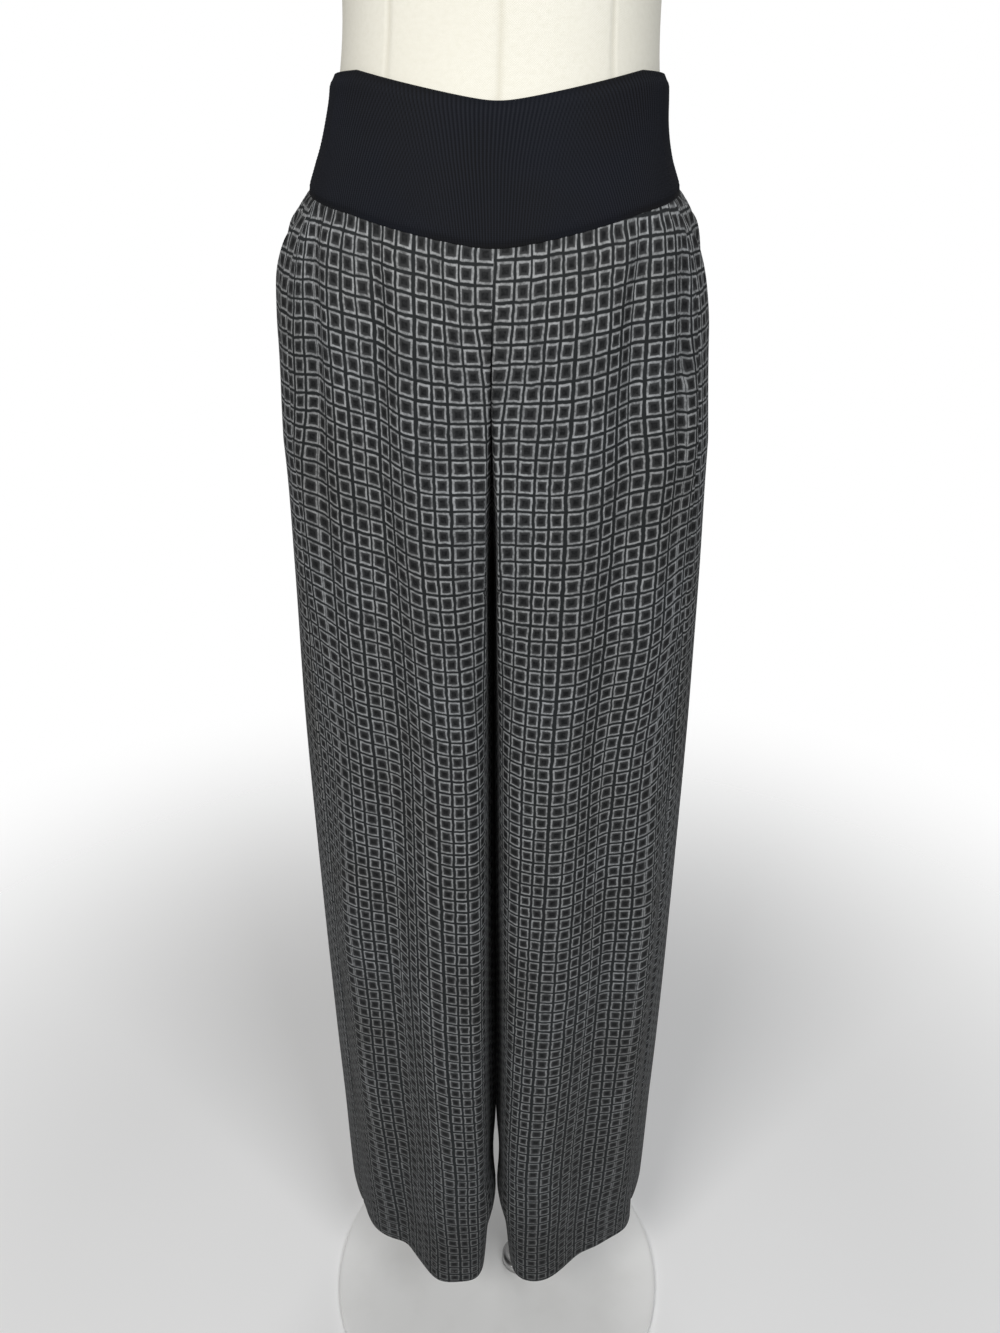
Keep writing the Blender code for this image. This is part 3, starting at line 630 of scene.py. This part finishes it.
# The cloth of the legs.
cloth = {
    "thick": 0.0008,
    "tuck": 0.004,               # cloth that runs up behind the band
    "hemTurn": 0.020,            # cloth turned up inside the hem
    "hemRadius": 0.0011,
    "rows": 210,
    "columns": {"front": 128, "back": 160},
    "cornerShare": {"front": 5.0 / 20.0, "back": 5.0 / 24.0},    # of a panel, up to its corner
    "cornerLength": 0.035,       # cloth from the centre seam to the corner, on the hips
    "cornerReach": 0.014,        # and how far out from the inner side it lies on a leg
    "centreDepth": {"front": 0.109, "back": 0.135},
    "flare": 0.0055,             # the inner side swings in at the hem
    "flareHeight": 0.120,
    "bend": 0.0035,              # both inner sides bend to the left, so that no light passes
    "bendReach": 0.030,          # behind the middle, and to both sides of it
    "bendEnd": 0.360,            # the height where it has gone, and over how much it goes
    "bendFade": 0.080,
    "innerRound": 0.035,         # how softly the inner sides open and swing along their depth
    "calm": 0.018,               # folds fade out over this much cloth beside a seam
    "fullest": 1.095,            # the cloth hangs from the hips' widest place
    "foldStart": 0.06,           # long folds start over this much cloth below the band
    "seamWidth": 0.0020, "seamDepth": 0.0010,
    "seamPull": 0.35,            # how unevenly a long seam is pulled in
    "tuckIn": 0.0012,            # the tuck lies this much nearer to the form
    "puckerPitch": 0.0092,       # small puckers along the band's seam
    "puckerLift": 0.0005,
    "puckerDrop": 0.004,
    "puckerReach": 0.009,
    "samples": 361,              # round a section, before the columns are laid out
    "slopeStep": 0.0025,         # to both sides, for the direction of the cloth
    "turnRows": 7,
    "insideRows": 4,
    "evened": 0.100,             # above this the back's columns keep their number
    "valleyWidth": 0.015,        # of the opening beside the centre seam, on the hips
}
# Ease of the cloth over the form by the distance below the band: side, front, back.
hipEase = inMetres((
    (0, 2.2, 2.2, 2.2), (8, 4.5, 4, 5), (20, 7.5, 6, 8.5), (40, 9.5, 8.5, 12), (70, 10, 10, 13),
    (110, 12.5, 8.5, 13), (160, 16.5, 7, 11),
))
# The leg as a tube: height, inner and outer side, front and back, how far the middle of its depth
# moves back towards the outer side, and how square its inner half is, right and left.
legSections = inMetres((
    (130, 10, 177, 102, 116, 80, 6, 5), (175, 6.2, 176.9, 102, 115.5, 77, 6, 5),
    (223, 3.8, 176.7, 102, 115, 75, 6, 5), (268, 2.7, 176.4, 101.7, 114.5, 73, 6, 5),
    (303, 0.5, 176.2, 101.5, 114, 71, 6, 5), (430, 0.3, 174.8, 101, 113, 66, 6, 4.8),
    (600, 0.3, 172, 100, 112, 57, 6, 4.8), (780, 0.3, 168, 96, 112, 41, 6, 4.8),
    (930, 0.3, 163, 94, 115, 26, 6, 5), (1100, 0.3, 157, 96, 118, 12, 6, 5),
), 2)
# How far the inner sides open towards the front, right and left, so that a dark valley lies
# between the legs.
valley = inMetres((
    (130, 2, 2), (198, 2, 2), (235, -3.4, -3.4), (283, 5.2, 2.2), (335, 6.6, 3.8), (450, 6, 4.2),
    (620, 4.6, 3), (800, 3.8, 2.2), (930, 3.6, 2.2), (1000, 3.6, 2.4), (1050, 3, 1.8),
    (1090, 1.8, 1), (1125, 0, 0),
))
# How the two legs hang unlike: height, shift of both, what the right and the left have more.
hang = inMetres((
    (130, 0, 0, 0), (250, -0.5, -1, 0.8), (430, -1, 0, 3.6), (600, -1.5, 0.6, 5),
    (800, -2, -0.6, 5.2), (930, -2, -2.6, 4.4), (1005, -2, -3.8, 2.2), (1060, -2, -2.8, 0.8),
    (1115, -1.8, -2.2, -1.6), (1140, -1.4, -1.2, -3), (1184.5, 0, 0, 0),
))
# Long folds of each leg and panel: place at hip, knee and hem from the panel's corner beside the
# centre, width, and how far the cloth stands out (+) or falls in (-) at the hip, knee and hem.
foldStops = (0.130, 0.550, 1.080)
longFolds = {
    ("right", "front"): inMetres((
        (18, 37, 36, 22, 4, 7, 10), (40, 86, 89, 20, -5, -10, -9), (64, 130, 134, 20, 3, 6, 3),
        (88, 110, 120, 14, -4, 0, 0),
    )),
    ("left", "front"): inMetres((
        (30, 43, 27, 24, 4, 8, 6), (58, 95, 76, 18, -5, -7, -4), (80, 138, 136, 22, 3, 7, 9),
        (101, 118, 118, 12, -3, 0, 0),
    )),
    ("right", "back"): inMetres((
        (32, 30, 28, 24, 2, 6, 7), (78, 72, 66, 22, -4, -9, -11), (132, 116, 110, 24, 4, 6, 7),
        (172, 166, 160, 22, -3, -6, -7),
    )),
    ("left", "back"): inMetres((
        (40, 38, 36, 24, 2, 6, 6), (94, 86, 80, 22, -4, -8, -10), (144, 130, 122, 24, 4, 6, 6),
        (184, 176, 168, 22, -3, -5, -6),
    )),
}
# Gathers under the band: place from the centre seam, half width, how far they stand out (+) or
# fall in (-) and how far down they reach.
gathers = {
    ("right", "front"): inMetres((
        (22, 8, 1.6, 160), (34, 7, -1, 150), (60, 10, 2.6, 280), (74.5, 7.5, -1.8, 260),
        (90, 8, 1.4, 170), (112, 8.5, 2.2, 180), (124, 7, -1.4, 160), (140, 8, 1.4, 130),
    )),
    ("left", "front"): inMetres((
        (24, 8, 1.4, 150), (34, 7, -1, 150), (58, 11, 1.2, 200), (84, 9, 2.4, 170),
        (96.5, 7, -1.8, 160), (112, 8, 1.2, 150), (129, 8, 1.8, 180), (139.5, 6, -1.2, 170),
    )),
    ("right", "back"): inMetres((
        (14, 7, 2.4, 90), (40, 8.5, 4.2, 150), (66, 7.5, 3.8, 180), (96, 9, 4.6, 140),
        (124, 8, 3.6, 160), (150, 7.5, 4.4, 190), (180, 9, 4, 130), (207, 8, 3.4, 160),
        (236, 8.5, 4.2, 120), (262, 7, 3, 100),
    )),
    ("left", "back"): inMetres((
        (16, 7.5, 2.6, 100), (44, 8, 4.4, 170), (70, 8.5, 4, 130), (101, 8, 4.2, 180),
        (128, 7.5, 3.4, 140), (155, 9, 4.6, 160), (184, 8, 3.8, 180), (213, 8.5, 4.2, 120),
        (240, 7.5, 3.6, 150), (264, 6.5, 2.8, 90),
    )),
}
# Creases: place at their top and bottom from the panel's corner, heights of top and bottom, half
# width and how far they stand out (+) or fall in (-).
creases = {
    ("right", "front"): inMetres((
        (38, 48, 1110, 880, 9, -1.8), (87, 94, 1130, 1000, 8, -1.2),
    )),
    ("left", "front"): inMetres((
        (58, 60, 1130, 1020, 7, -1.2), (102, 106, 1130, 1000, 7, -1),
    )),
}

# How far the print lies off plain rows and columns: the distance below the band, then
# outwards or downwards at four places from the centre seam.
driftPlaces = (0.020, 0.060, 0.100, 0.140)
rowDrift = {
    "right": inMetres((
        (6, 0.7, -3.2, -7, -7), (35, -0.5, -6, -11.4, -11.7), (75, -1.1, -6, -13.6, -15),
        (120, -1.4, -5.2, -14.6, -17.4), (160, -1.5, -5.7, -15.7, -20.8),
        (200, -1.5, -6.5, -16.8, -23.3), (250, 1.4, -4.3, -16.6, -24.8),
        (300, 3.4, -3.2, -15.5, -25.4), (350, 6, -2.9, -17.1, -25.6),
        (400, 6.5, -2.2, -16.4, -25.2), (500, 5.5, -3.4, -16.1, -23.1),
        (600, 5.6, -3.9, -13.6, -16.6), (1060, 1.5, -1.6, -4, -4),
    )),
    "left": inMetres((
        (6, -1.6, -2.6, -3, -0.5), (35, -2.3, -3.9, -5.5, -2.6), (75, -2.2, -3.5, -6.3, -4),
        (120, -1.9, -2.3, -7.1, -5.2), (160, -1.7, -1.9, -7.4, -7), (200, -0.9, -1.4, -5.5, -9.2),
        (250, 1.6, -0.2, -3.2, -10.8), (300, 3.4, 2.1, -1.1, -9.7), (350, 4.4, 4.3, 0.5, -8.4),
        (400, 4.4, 5.1, 1.2, -6.8), (500, 0.7, 1.3, 1.4, -0.5), (600, -0.5, 0.6, 4.5, 10.5),
        (1060, 0, 0, 1.6, 4.6),
    )),
}
columnDrift = {
    "right": inMetres((
        (6, 1, -5, -10, -18), (35, 0.3, -6.5, -10.5, -18), (75, -2.5, -6.6, -11.5, -15),
        (120, -4.1, -5.4, -11.1, -13.7), (160, -4.8, -5, -10.7, -9.5),
        (200, -4.8, -5.2, -10.6, -7.3), (250, -4.7, -5.3, -9, -6.8), (300, -6.1, -6.1, -8.3, -8.1),
        (350, -7, -6.2, -7.3, -8), (400, -8.1, -6.6, -7.1, -8.5), (500, -8.3, -6.1, -4.6, -4.5),
        (600, -8.3, -5.6, -2.1, 0.9), (700, -7.9, -5.1, -1.5, 0.9), (800, -8.8, -6.5, -2.2, 2.2),
        (900, -11.4, -9.9, -5.6, -0.6), (1000, -12.3, -12.6, -9.5, -4),
    )),
    "left": inMetres((
        (6, 6.5, 2.1, 0, -3), (35, 6.9, 2.4, -1.3, -2), (75, 5.5, 1.7, -0.5, 0),
        (120, 2, 1.2, -0.3, 5.4), (160, 0.7, 0.3, 2.7, 7.1), (200, 0.3, 0.8, 3.1, 4.9),
        (250, 0.1, 0.9, 3.4, 5), (300, -1, 0.8, 3.9, 6.5), (350, -1.8, 0.3, 2.5, 2.3),
        (400, -3.2, -1, 0.3, -1.2), (500, -4.2, -3.1, -0.7, 1.2), (600, -6.4, -5.9, -0.7, 5.5),
        (700, -9, -8.2, -1.8, 5.4), (800, -12.8, -11, -4.1, 2.2), (900, -16.7, -15.4, -8.2, -0.8),
        (1000, -16.6, -16.4, -11.7, -5.4),
    )),
}


def rowPlan():
    # one row of cloth at each height, from the tuck behind the band to the fold of the hem and up
    # inside it: height, how far the cloth is set in, and how far it drops
    radius = cloth["hemRadius"]
    low = garment["hem"] + radius
    t = np.linspace(0, 1, cloth["rows"])
    main = garment["seam"] - (garment["seam"] - low) * (0.4 * t + 0.6 * t * t)
    tuck = garment["seam"] + cloth["tuck"] * np.array([1.0, 0.6, 0.3])
    turn = np.linspace(0, math.pi, cloth["turnRows"] + 1)[1:]
    inside = low + cloth["hemTurn"] * np.linspace(0, 1, cloth["insideRows"] + 1)[1:]
    flat = np.zeros(len(tuck) + len(main))
    level = np.concatenate([tuck, main, np.full_like(turn, low), inside])
    inset = np.concatenate([flat, radius * (1 - np.cos(turn)), np.full_like(inside, 2 * radius)])
    drop = np.concatenate([flat, radius * np.sin(turn), np.zeros_like(inside)])
    return level[:, None], inset[:, None], drop[:, None]


def forkShares(level):
    # how far the centre seam has run in to the crotch, and the cloth left the hips' section
    g = garment
    t = np.clip((g["fork"] - level) / (g["fork"] - g["crotch"]), 0, 1)
    return 1 - (1 - t ** 1.7) ** 0.6, smooth((g["fork"] - level) / (g["fork"] - g["tube"]))


def spread(share, panel, corner, length):
    # lengths for shares of a panel: a fixed share lies between the centre seam and the corner
    turn = cloth["cornerShare"][panel]
    outer = corner + (share - turn) / (1 - turn) * (length - corner)
    return np.where(share < turn, share / turn * corner, outer)


def hipRows(panel, level, seamY, share, opening):
    # the form's section grown by the ease, behind a straight run out from the centre seam
    end = garment["sideAngle"] if panel == "front" else 180.0 - garment["sideAngle"]
    off = np.linspace(0, end, cloth["samples"])[None, :]
    degrees = off if panel == "front" else 180.0 - off
    fade = np.clip((level - garment["level"]) / (garment["seam"] - garment["level"]), 0, 1)
    dip = frontDip(degrees, 90.0) + 0.0 * level
    height = level + seamShift(dip) * fade
    x, y = formPoint(np.broadcast_to(degrees, height.shape), np.maximum(height, cloth["fullest"]),
                     *readTable(hipEase, garment["seam"] - level))
    runIn = np.maximum(0, np.abs(y[:, :1]) - np.abs(seamY))
    if panel == "front":
        x = x + opening * bump(x / cloth["valleyWidth"])
    x = np.concatenate([np.zeros_like(runIn), x], axis=1)
    y = np.concatenate([np.where(runIn > 0, seamY, y[:, :1]), y], axis=1)
    dip = np.concatenate([dip[:, :1], dip], axis=1)
    run = runAlong(x, y)
    at = spread(share, panel, runIn + cloth["cornerLength"], run[:, -1:])
    return *readRows(at, run, x, y, dip), fade


def legRows(leg, panel, level, seamY, share, opening):
    # a tube with a square inner half, whose spine is swept back towards the outer side
    end = garment["sideTurn"] if panel == "front" else garment["sideTurn"] - 360.0
    turn = np.radians(np.linspace(0, end, cloth["samples"]))[None, :]
    third, middle = cloth["samples"] // 3, cloth["samples"] // 2
    inner, outer, front, back, sweep, *squares = readTable(legSections, level)
    square = squares[0 if leg == "right" else 1]
    half = 0.5 * (outer - inner)
    power = np.where(np.cos(turn) > 0, 2.0 / square, 1.0)
    x = inner + half - half * signedPower(np.cos(turn), power)
    across = np.clip((x - inner) / (outer - inner), 0, 1)
    spine = sweep * across ** 1.2
    rise = signedPower(np.sin(turn), power)
    y = np.where(rise > 0, spine - front * rise, spine - (back - spine) * rise)
    swing = np.maximum(0, 1 - (level - garment["hem"]) / cloth["flareHeight"]) ** 1.5
    x = x - cloth["flare"] * swing * bump((y - 0.008) / cloth["innerRound"]) * (1 - across) ** 4
    opened = smooth((-y - 0.020) / cloth["innerRound"])
    x = x + opening * opened * (1 - across) ** 8
    run = runAlong(x, y)
    depth = np.abs(y[:, :third])
    seamDepth = np.minimum(np.abs(seamY), 0.97 * depth.max(axis=1, keepdims=True))
    start = readRows(seamDepth, depth, run[:, :third])[0]
    corner = readRows(inner + cloth["cornerReach"], x[:, :middle], run[:, :middle])[0]
    at = start + spread(share, panel, corner - start, run[:, -1:] - start)
    x, y = readRows(at, run, x, y)
    nearSeam = np.clip(1 - share / cloth["cornerShare"][panel], 0, 1)
    return x - (x[:, :1] - inner) * nearSeam ** 2, y


def foldLift(leg, panel, along, corner, level):
    # the sum of long folds: bells across the cloth whose place and height change downwards
    lift = np.zeros_like(along)
    begun = np.clip((garment["seam"] - level) / cloth["foldStart"], 0, 1)
    for *places, width, hip, knee, hem in longFolds[leg, panel]:
        place = np.interp(level, foldStops, places[::-1])
        out = np.interp(level, foldStops, (hem, knee, hip)) * begun
        lift += out * bump((along - corner - place) / width)
    return lift


def gatherLift(leg, panel, along, level):
    # soft ridges and troughs that start at the band and die away downwards, over small puckers
    below = garment["seam"] - level
    lift = np.zeros_like(along)
    for place, width, out, reach in gathers[leg, panel]:
        wide = width * (1 + 0.5 * np.clip(below / reach, 0, 1))
        strength = smooth((below + 0.002) / 0.020) * smooth(1 - below / reach) ** 0.8
        lift += out * strength * bump((along - place) / wide)
    shift = {"front": 0.3, "back": 1.7}[panel] + {"right": 0.0, "left": 0.9}[leg]
    turns = along / cloth["puckerPitch"] + 0.35 * np.sin(90.0 * along + shift)
    near = bump((below - cloth["puckerDrop"]) / cloth["puckerReach"])
    return lift + cloth["puckerLift"] * np.sin(2 * math.pi * turns) * near


def creaseLift(leg, panel, along, corner, level):
    # single creases with soft ends, which lean from their top to their bottom
    lift = np.zeros_like(along)
    for topAt, lowAt, top, low, width, out in creases.get((leg, panel), ()):
        t = (top - level) / (top - low)
        ends = smooth(t / 0.25) * smooth((1 - t) / 0.35)
        place = topAt + (lowAt - topAt) * np.clip(t, 0, 1)
        lift += out * ends * bump((along - corner - place) / width)
    return lift


def drift(rows, across, below):
    # a reading of a table of drifts: its four places are joined by the one cubic through them all
    values = readTable(rows, below)
    at = np.clip(across, 0.015, 0.150)
    total = 0.0
    for place, value in zip(driftPlaces, values):
        share = [(at - other) / (place - other) for other in driftPlaces if other != place]
        total = total + np.prod(share, axis=0) * value
    return total


def clothLengths(panel, length):
    # columns of points across a panel, closer together beside its two seams
    near = np.array([0.0, 0.0007, 0.0016, 0.0028, 0.0044])[None, :]
    edge = 0.0068
    middle = np.linspace(0, 1, cloth["columns"][panel])[None, :]
    return np.concatenate([near + 0.0 * length, edge + (length - 2.0 * edge) * middle,
                           length - near[:, ::-1]], axis=1)


def panelShape(leg, panel, plan):
    # one panel of a leg, from its centre seam and inseam round to its side seam: its points, the
    # directions out of it and the print's two lengths at each point
    level, inset, drop = plan
    forward = -1.0 if panel == "front" else 1.0
    share = np.linspace(0, 1, cloth["samples"])[None, :]
    seam, side = forkShares(level)
    seamY = forward * (1 - seam) * cloth["centreDepth"][panel]
    opening = readTable(valley, level)[0 if leg == "right" else 1]
    hipX, hipY, dip, fade = hipRows(panel, level, seamY, share, opening)
    legX, legY = legRows(leg, panel, level, seamY, share, opening)
    x = hipX + (legX - hipX) * side
    y = hipY + (legY - hipY) * side
    z = level + seamShift(dip) * fade * (1 - side)
    lean, right, left = readTable(hang, level)
    x = x * (1 + (left if leg == "left" else right) / readTable(legSections, level)[1])
    run = runAlong(x, y)
    length = run[:, -1:]
    atCorner = np.full((len(run), 1), cloth["cornerShare"][panel])
    corner = readRows(atCorner, np.broadcast_to(share, run.shape), run)[0]
    along = clothLengths(panel, length)
    step = cloth["slopeStep"]
    before = readRows(np.maximum(along - step, 0.0), run, x, y)
    after = readRows(np.minimum(along + step, length), run, x, y)
    here = readRows(along, run, x, y, z, dip)
    tx, ty = after[0] - before[0], after[1] - before[1]
    size = np.hypot(tx, ty)
    nx, ny = -forward * ty / size, forward * tx / size
    lift = foldLift(leg, panel, along, corner, level)
    lift += gatherLift(leg, panel, along, level) + creaseLift(leg, panel, along, corner, level)
    toSeam = np.minimum(along, length - along)
    lift *= smooth(toSeam / cloth["calm"])
    pull = 1 + cloth["seamPull"] * np.sin(level * 260.0 + 2.0 * np.sin(level * 61.0))
    pull = pull * smooth((garment["seam"] - level) / 0.050)
    lift -= cloth["seamDepth"] * pull * bump(toSeam / cloth["seamWidth"])
    lift -= cloth["tuckIn"] * smooth((level - garment["seam"] + 0.002) / 0.004) + inset
    px = np.maximum(here[0] + nx * lift * smooth(along / 0.006), 0.0)
    py = here[1] + ny * lift
    pz = here[2] - drop
    reach, fading = cloth["bendReach"], cloth["bendFade"]
    bend = cloth["bend"] * bump((py - reach) / reach) * bump(px / reach)
    bend *= smooth((garment["crotch"] + 0.02 - level) / fading)
    bend *= smooth((level - cloth["bendEnd"]) / fading)
    mirror = 1.0 if leg == "left" else -1.0
    points = np.stack([px * mirror + lean + bend, py, pz], axis=-1)
    outward = np.stack([nx * mirror, ny, np.zeros_like(nx)], axis=-1)
    # the print: lengths along the finished cloth, counted so that the corner's column is plumb,
    # and rows that follow the band, in front only near it; both then less their drift
    arc = runAlong(*np.moveaxis(points, -1, 0))
    arc = arc - readRows(corner, along, arc)[0] + readRows(corner, along, px)[0]
    below = garment["seam"] - level
    straight = np.interp(below, (0.0, 0.110, 0.250), (0.2, 0.5, 1.0))
    seamDip = garment["seamDip"]
    down = garment["seam"] - seamDip * here[3] - here[2] - seamDip * (1 - here[3]) * straight
    if panel == "front":
        plain = below + 0.0 * arc
        down = down - drift(rowDrift[leg], arc, plain)
        arc = arc - drift(columnDrift[leg], arc, plain)
    else:
        hanging = slice(3, -cloth["turnRows"] - cloth["insideRows"])    # between tuck and hem
        full = np.interp(cloth["evened"], below[hanging, 0], arc[hanging, -1])
        arc = arc * np.where(below < cloth["evened"], full / arc[:, -1:], 1.0)
        down = below + 0.0 * arc
    turned = np.cumsum(np.abs(np.diff(inset + drop, axis=0, prepend=0.0)), axis=0)
    folded = -cloth["insideRows"] - 1                            # the last row of the turn
    rise = np.where(inset > cloth["hemRadius"] * 1.99, here[2] - here[2][folded, None], 0.0)
    down = down + turned + 2.0 * rise
    uv = np.stack([arc - printSizes["startAcross"][leg], down], axis=-1)
    return points, outward, uv


def buildPanel(leg, panel, node):
    # a panel's points as a piece, with a wall of cloth laid inwards; gives its area too
    points, outward, uv = panelShape(leg, panel, rowPlan())
    faces = gridFaces(*points.shape[:2])
    piece = makePiece(node + "_cloth", points, faces, outward, [printedCloth, clothReverse], uv)
    wall = piece.modifiers.new("Wall", "SOLIDIFY")
    wall.thickness = cloth["thick"]
    wall.offset = -1.0
    wall.material_offset = 1
    wall.material_offset_rim = 0
    area = sum(face.area for face in piece.data.polygons)
    print(node, "area", round(area, 4))
    return finishPiece(piece, node), area


for leg in ("right", "left"):
    for panel in ("front", "back"):
        buildPanel(leg, panel, f"{panel}_{leg}_leg")


def boxOf(node):
    # the foot's middle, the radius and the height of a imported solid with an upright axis
    low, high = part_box(node)
    middle = [0.5 * (a + b) for a, b in zip(low, high)]
    return (middle[0], middle[1], low[2]), 0.5 * (high[0] - low[0]), high[2] - low[2]


def buildStand():
    # four turned pieces, each an outline of radius, height over its foot and rounding
    place, radius, height = boxOf("base_plate")
    finishPiece(makeTurned("base_disc", (
        (0, height, 0), (radius, height, 0.0045), (radius, 0.0006, 0.0012), (radius - 0.004, 0, 0),
        (0, 0, 0)), place, whitePaint, 160), "base_plate")
    poleFoot, rod, length = boxOf("pole")
    place, radius, height = boxOf("pole_collar")
    finishPiece(makeTurned("collar_ring", (
        (rod, height, 0), (0.62 * radius, height, 0.002), (0.66 * radius, 0.42 * height, 0.006),
        (radius, 0.30 * height, 0.002), (radius, 0, 0), (rod, 0, 0)),
        place, brushedSteel, 96), "pole_collar")
    finishPiece(makeTurned("pole_tube", (
        (0, length, 0), (rod, length, 0.0008), (rod, 0, 0), (0, 0, 0)),
        poleFoot, brushedSteel, 64), "pole")
    place, radius, height = boxOf("neck_cap")
    finishPiece(makeTurned("neck_disc", (
        (0, height, 0), (0.45 * radius, 0.96 * height, 0.004),
        (0.80 * radius, 0.70 * height, 0.006), (radius, 0.45 * height, 0.004),
        (radius, 0.06 * height, 0.002), (0.96 * radius, 0, 0), (0, 0, 0)),
        place, capWood, 128), "neck_cap")


buildStand()
print("pieces made")

# Floor, light and camera.
studio = {
    "floor": (0.91, 0.91, 0.91),
    "world": 0.20,
    "backdrop": 1.0,
    "fades": (0.45, 1.50),       # the floor fades into the backdrop, this far from the stand
    "cameraPlace": (0.0035, -0.741, 1.215),
    "cameraPitch": 62.4,
    "lens": 27.0,
    # name, place, what it looks at, side, power, colour
    "lamps": (
        ("key", (-0.88, -1.47, 2.0), (0.0, 0.0, 1.15), 0.8, 24.0, (1.0, 0.99, 0.975)),
        ("fill", (0.88, -1.47, 2.0), (0.0, 0.0, 1.15), 0.8, 20.8, (0.97, 0.985, 1.0)),
        ("back", (0.3, 2.4, 2.4), (0.0, 0.0, 1.0), 1.8, 24.0, (1.0, 1.0, 1.0)),
    ),
}


def buildStudio():
    # a pale floor that fades out, lamps that face their targets, and the camera
    mesh = bpy.data.meshes.new("floor")
    side = 12.0
    mesh.from_pydata([(-side, -side, 0.0), (side, -side, 0.0), (side, side, 0.0),
                      (-side, side, 0.0)], [], [(0, 1, 2, 3)])
    floor = addObject("floor", mesh)
    shade = Shade("floor_paint")
    place = shade.place()
    speck = shade.noise(place, 5.0, 3.0)
    light = studio["floor"]
    colour = shade.mix(speck, tuple(0.985 * value for value in light), light)
    x, y, _ = shade.parts(place)
    away = (x * x + y * y).math("SQRT")
    mesh.materials.append(shade.finish(
        Base_Color=colour, Roughness=0.85, Alpha=1 - away.between(*studio["fades"])))
    world = bpy.data.worlds.new("studio")
    world.use_nodes = True
    sky = world.node_tree.nodes["Background"]
    sky.inputs["Color"].default_value = (1.0, 1.0, 1.0, 1.0)
    seen = world.node_tree.nodes.new("ShaderNodeLightPath")
    level = world.node_tree.nodes.new("ShaderNodeMapRange")
    level.inputs["To Min"].default_value = studio["world"]
    level.inputs["To Max"].default_value = studio["backdrop"]
    world.node_tree.links.new(seen.outputs["Is Camera Ray"], level.inputs["Value"])
    world.node_tree.links.new(level.outputs["Result"], sky.inputs["Strength"])
    scene.world = world
    scene.view_settings.view_transform = "Standard"
    for name, place, target, size, power, colour in studio["lamps"]:
        lamp = bpy.data.lights.new(name, "AREA")
        lamp.size = size
        lamp.energy = power
        lamp.color = colour
        holder = addObject(name, lamp)
        holder.location = place
        aim = np.array(target) - np.array(place)
        flat = math.hypot(aim[0], aim[1])
        holder.rotation_euler = Euler(
            (math.pi / 2 + math.atan2(aim[2], flat), 0.0, math.atan2(aim[1], aim[0]) - math.pi / 2))
    lens = bpy.data.cameras.new("camera")
    lens.lens = studio["lens"]
    lens.sensor_width = 36.0
    lens.clip_start = 0.05
    camera = addObject("camera", lens)
    camera.location = studio["cameraPlace"]
    camera.rotation_euler = Euler((math.radians(studio["cameraPitch"]), 0.0, 0.0))
    scene.camera = camera


buildStudio()
print("studio made")
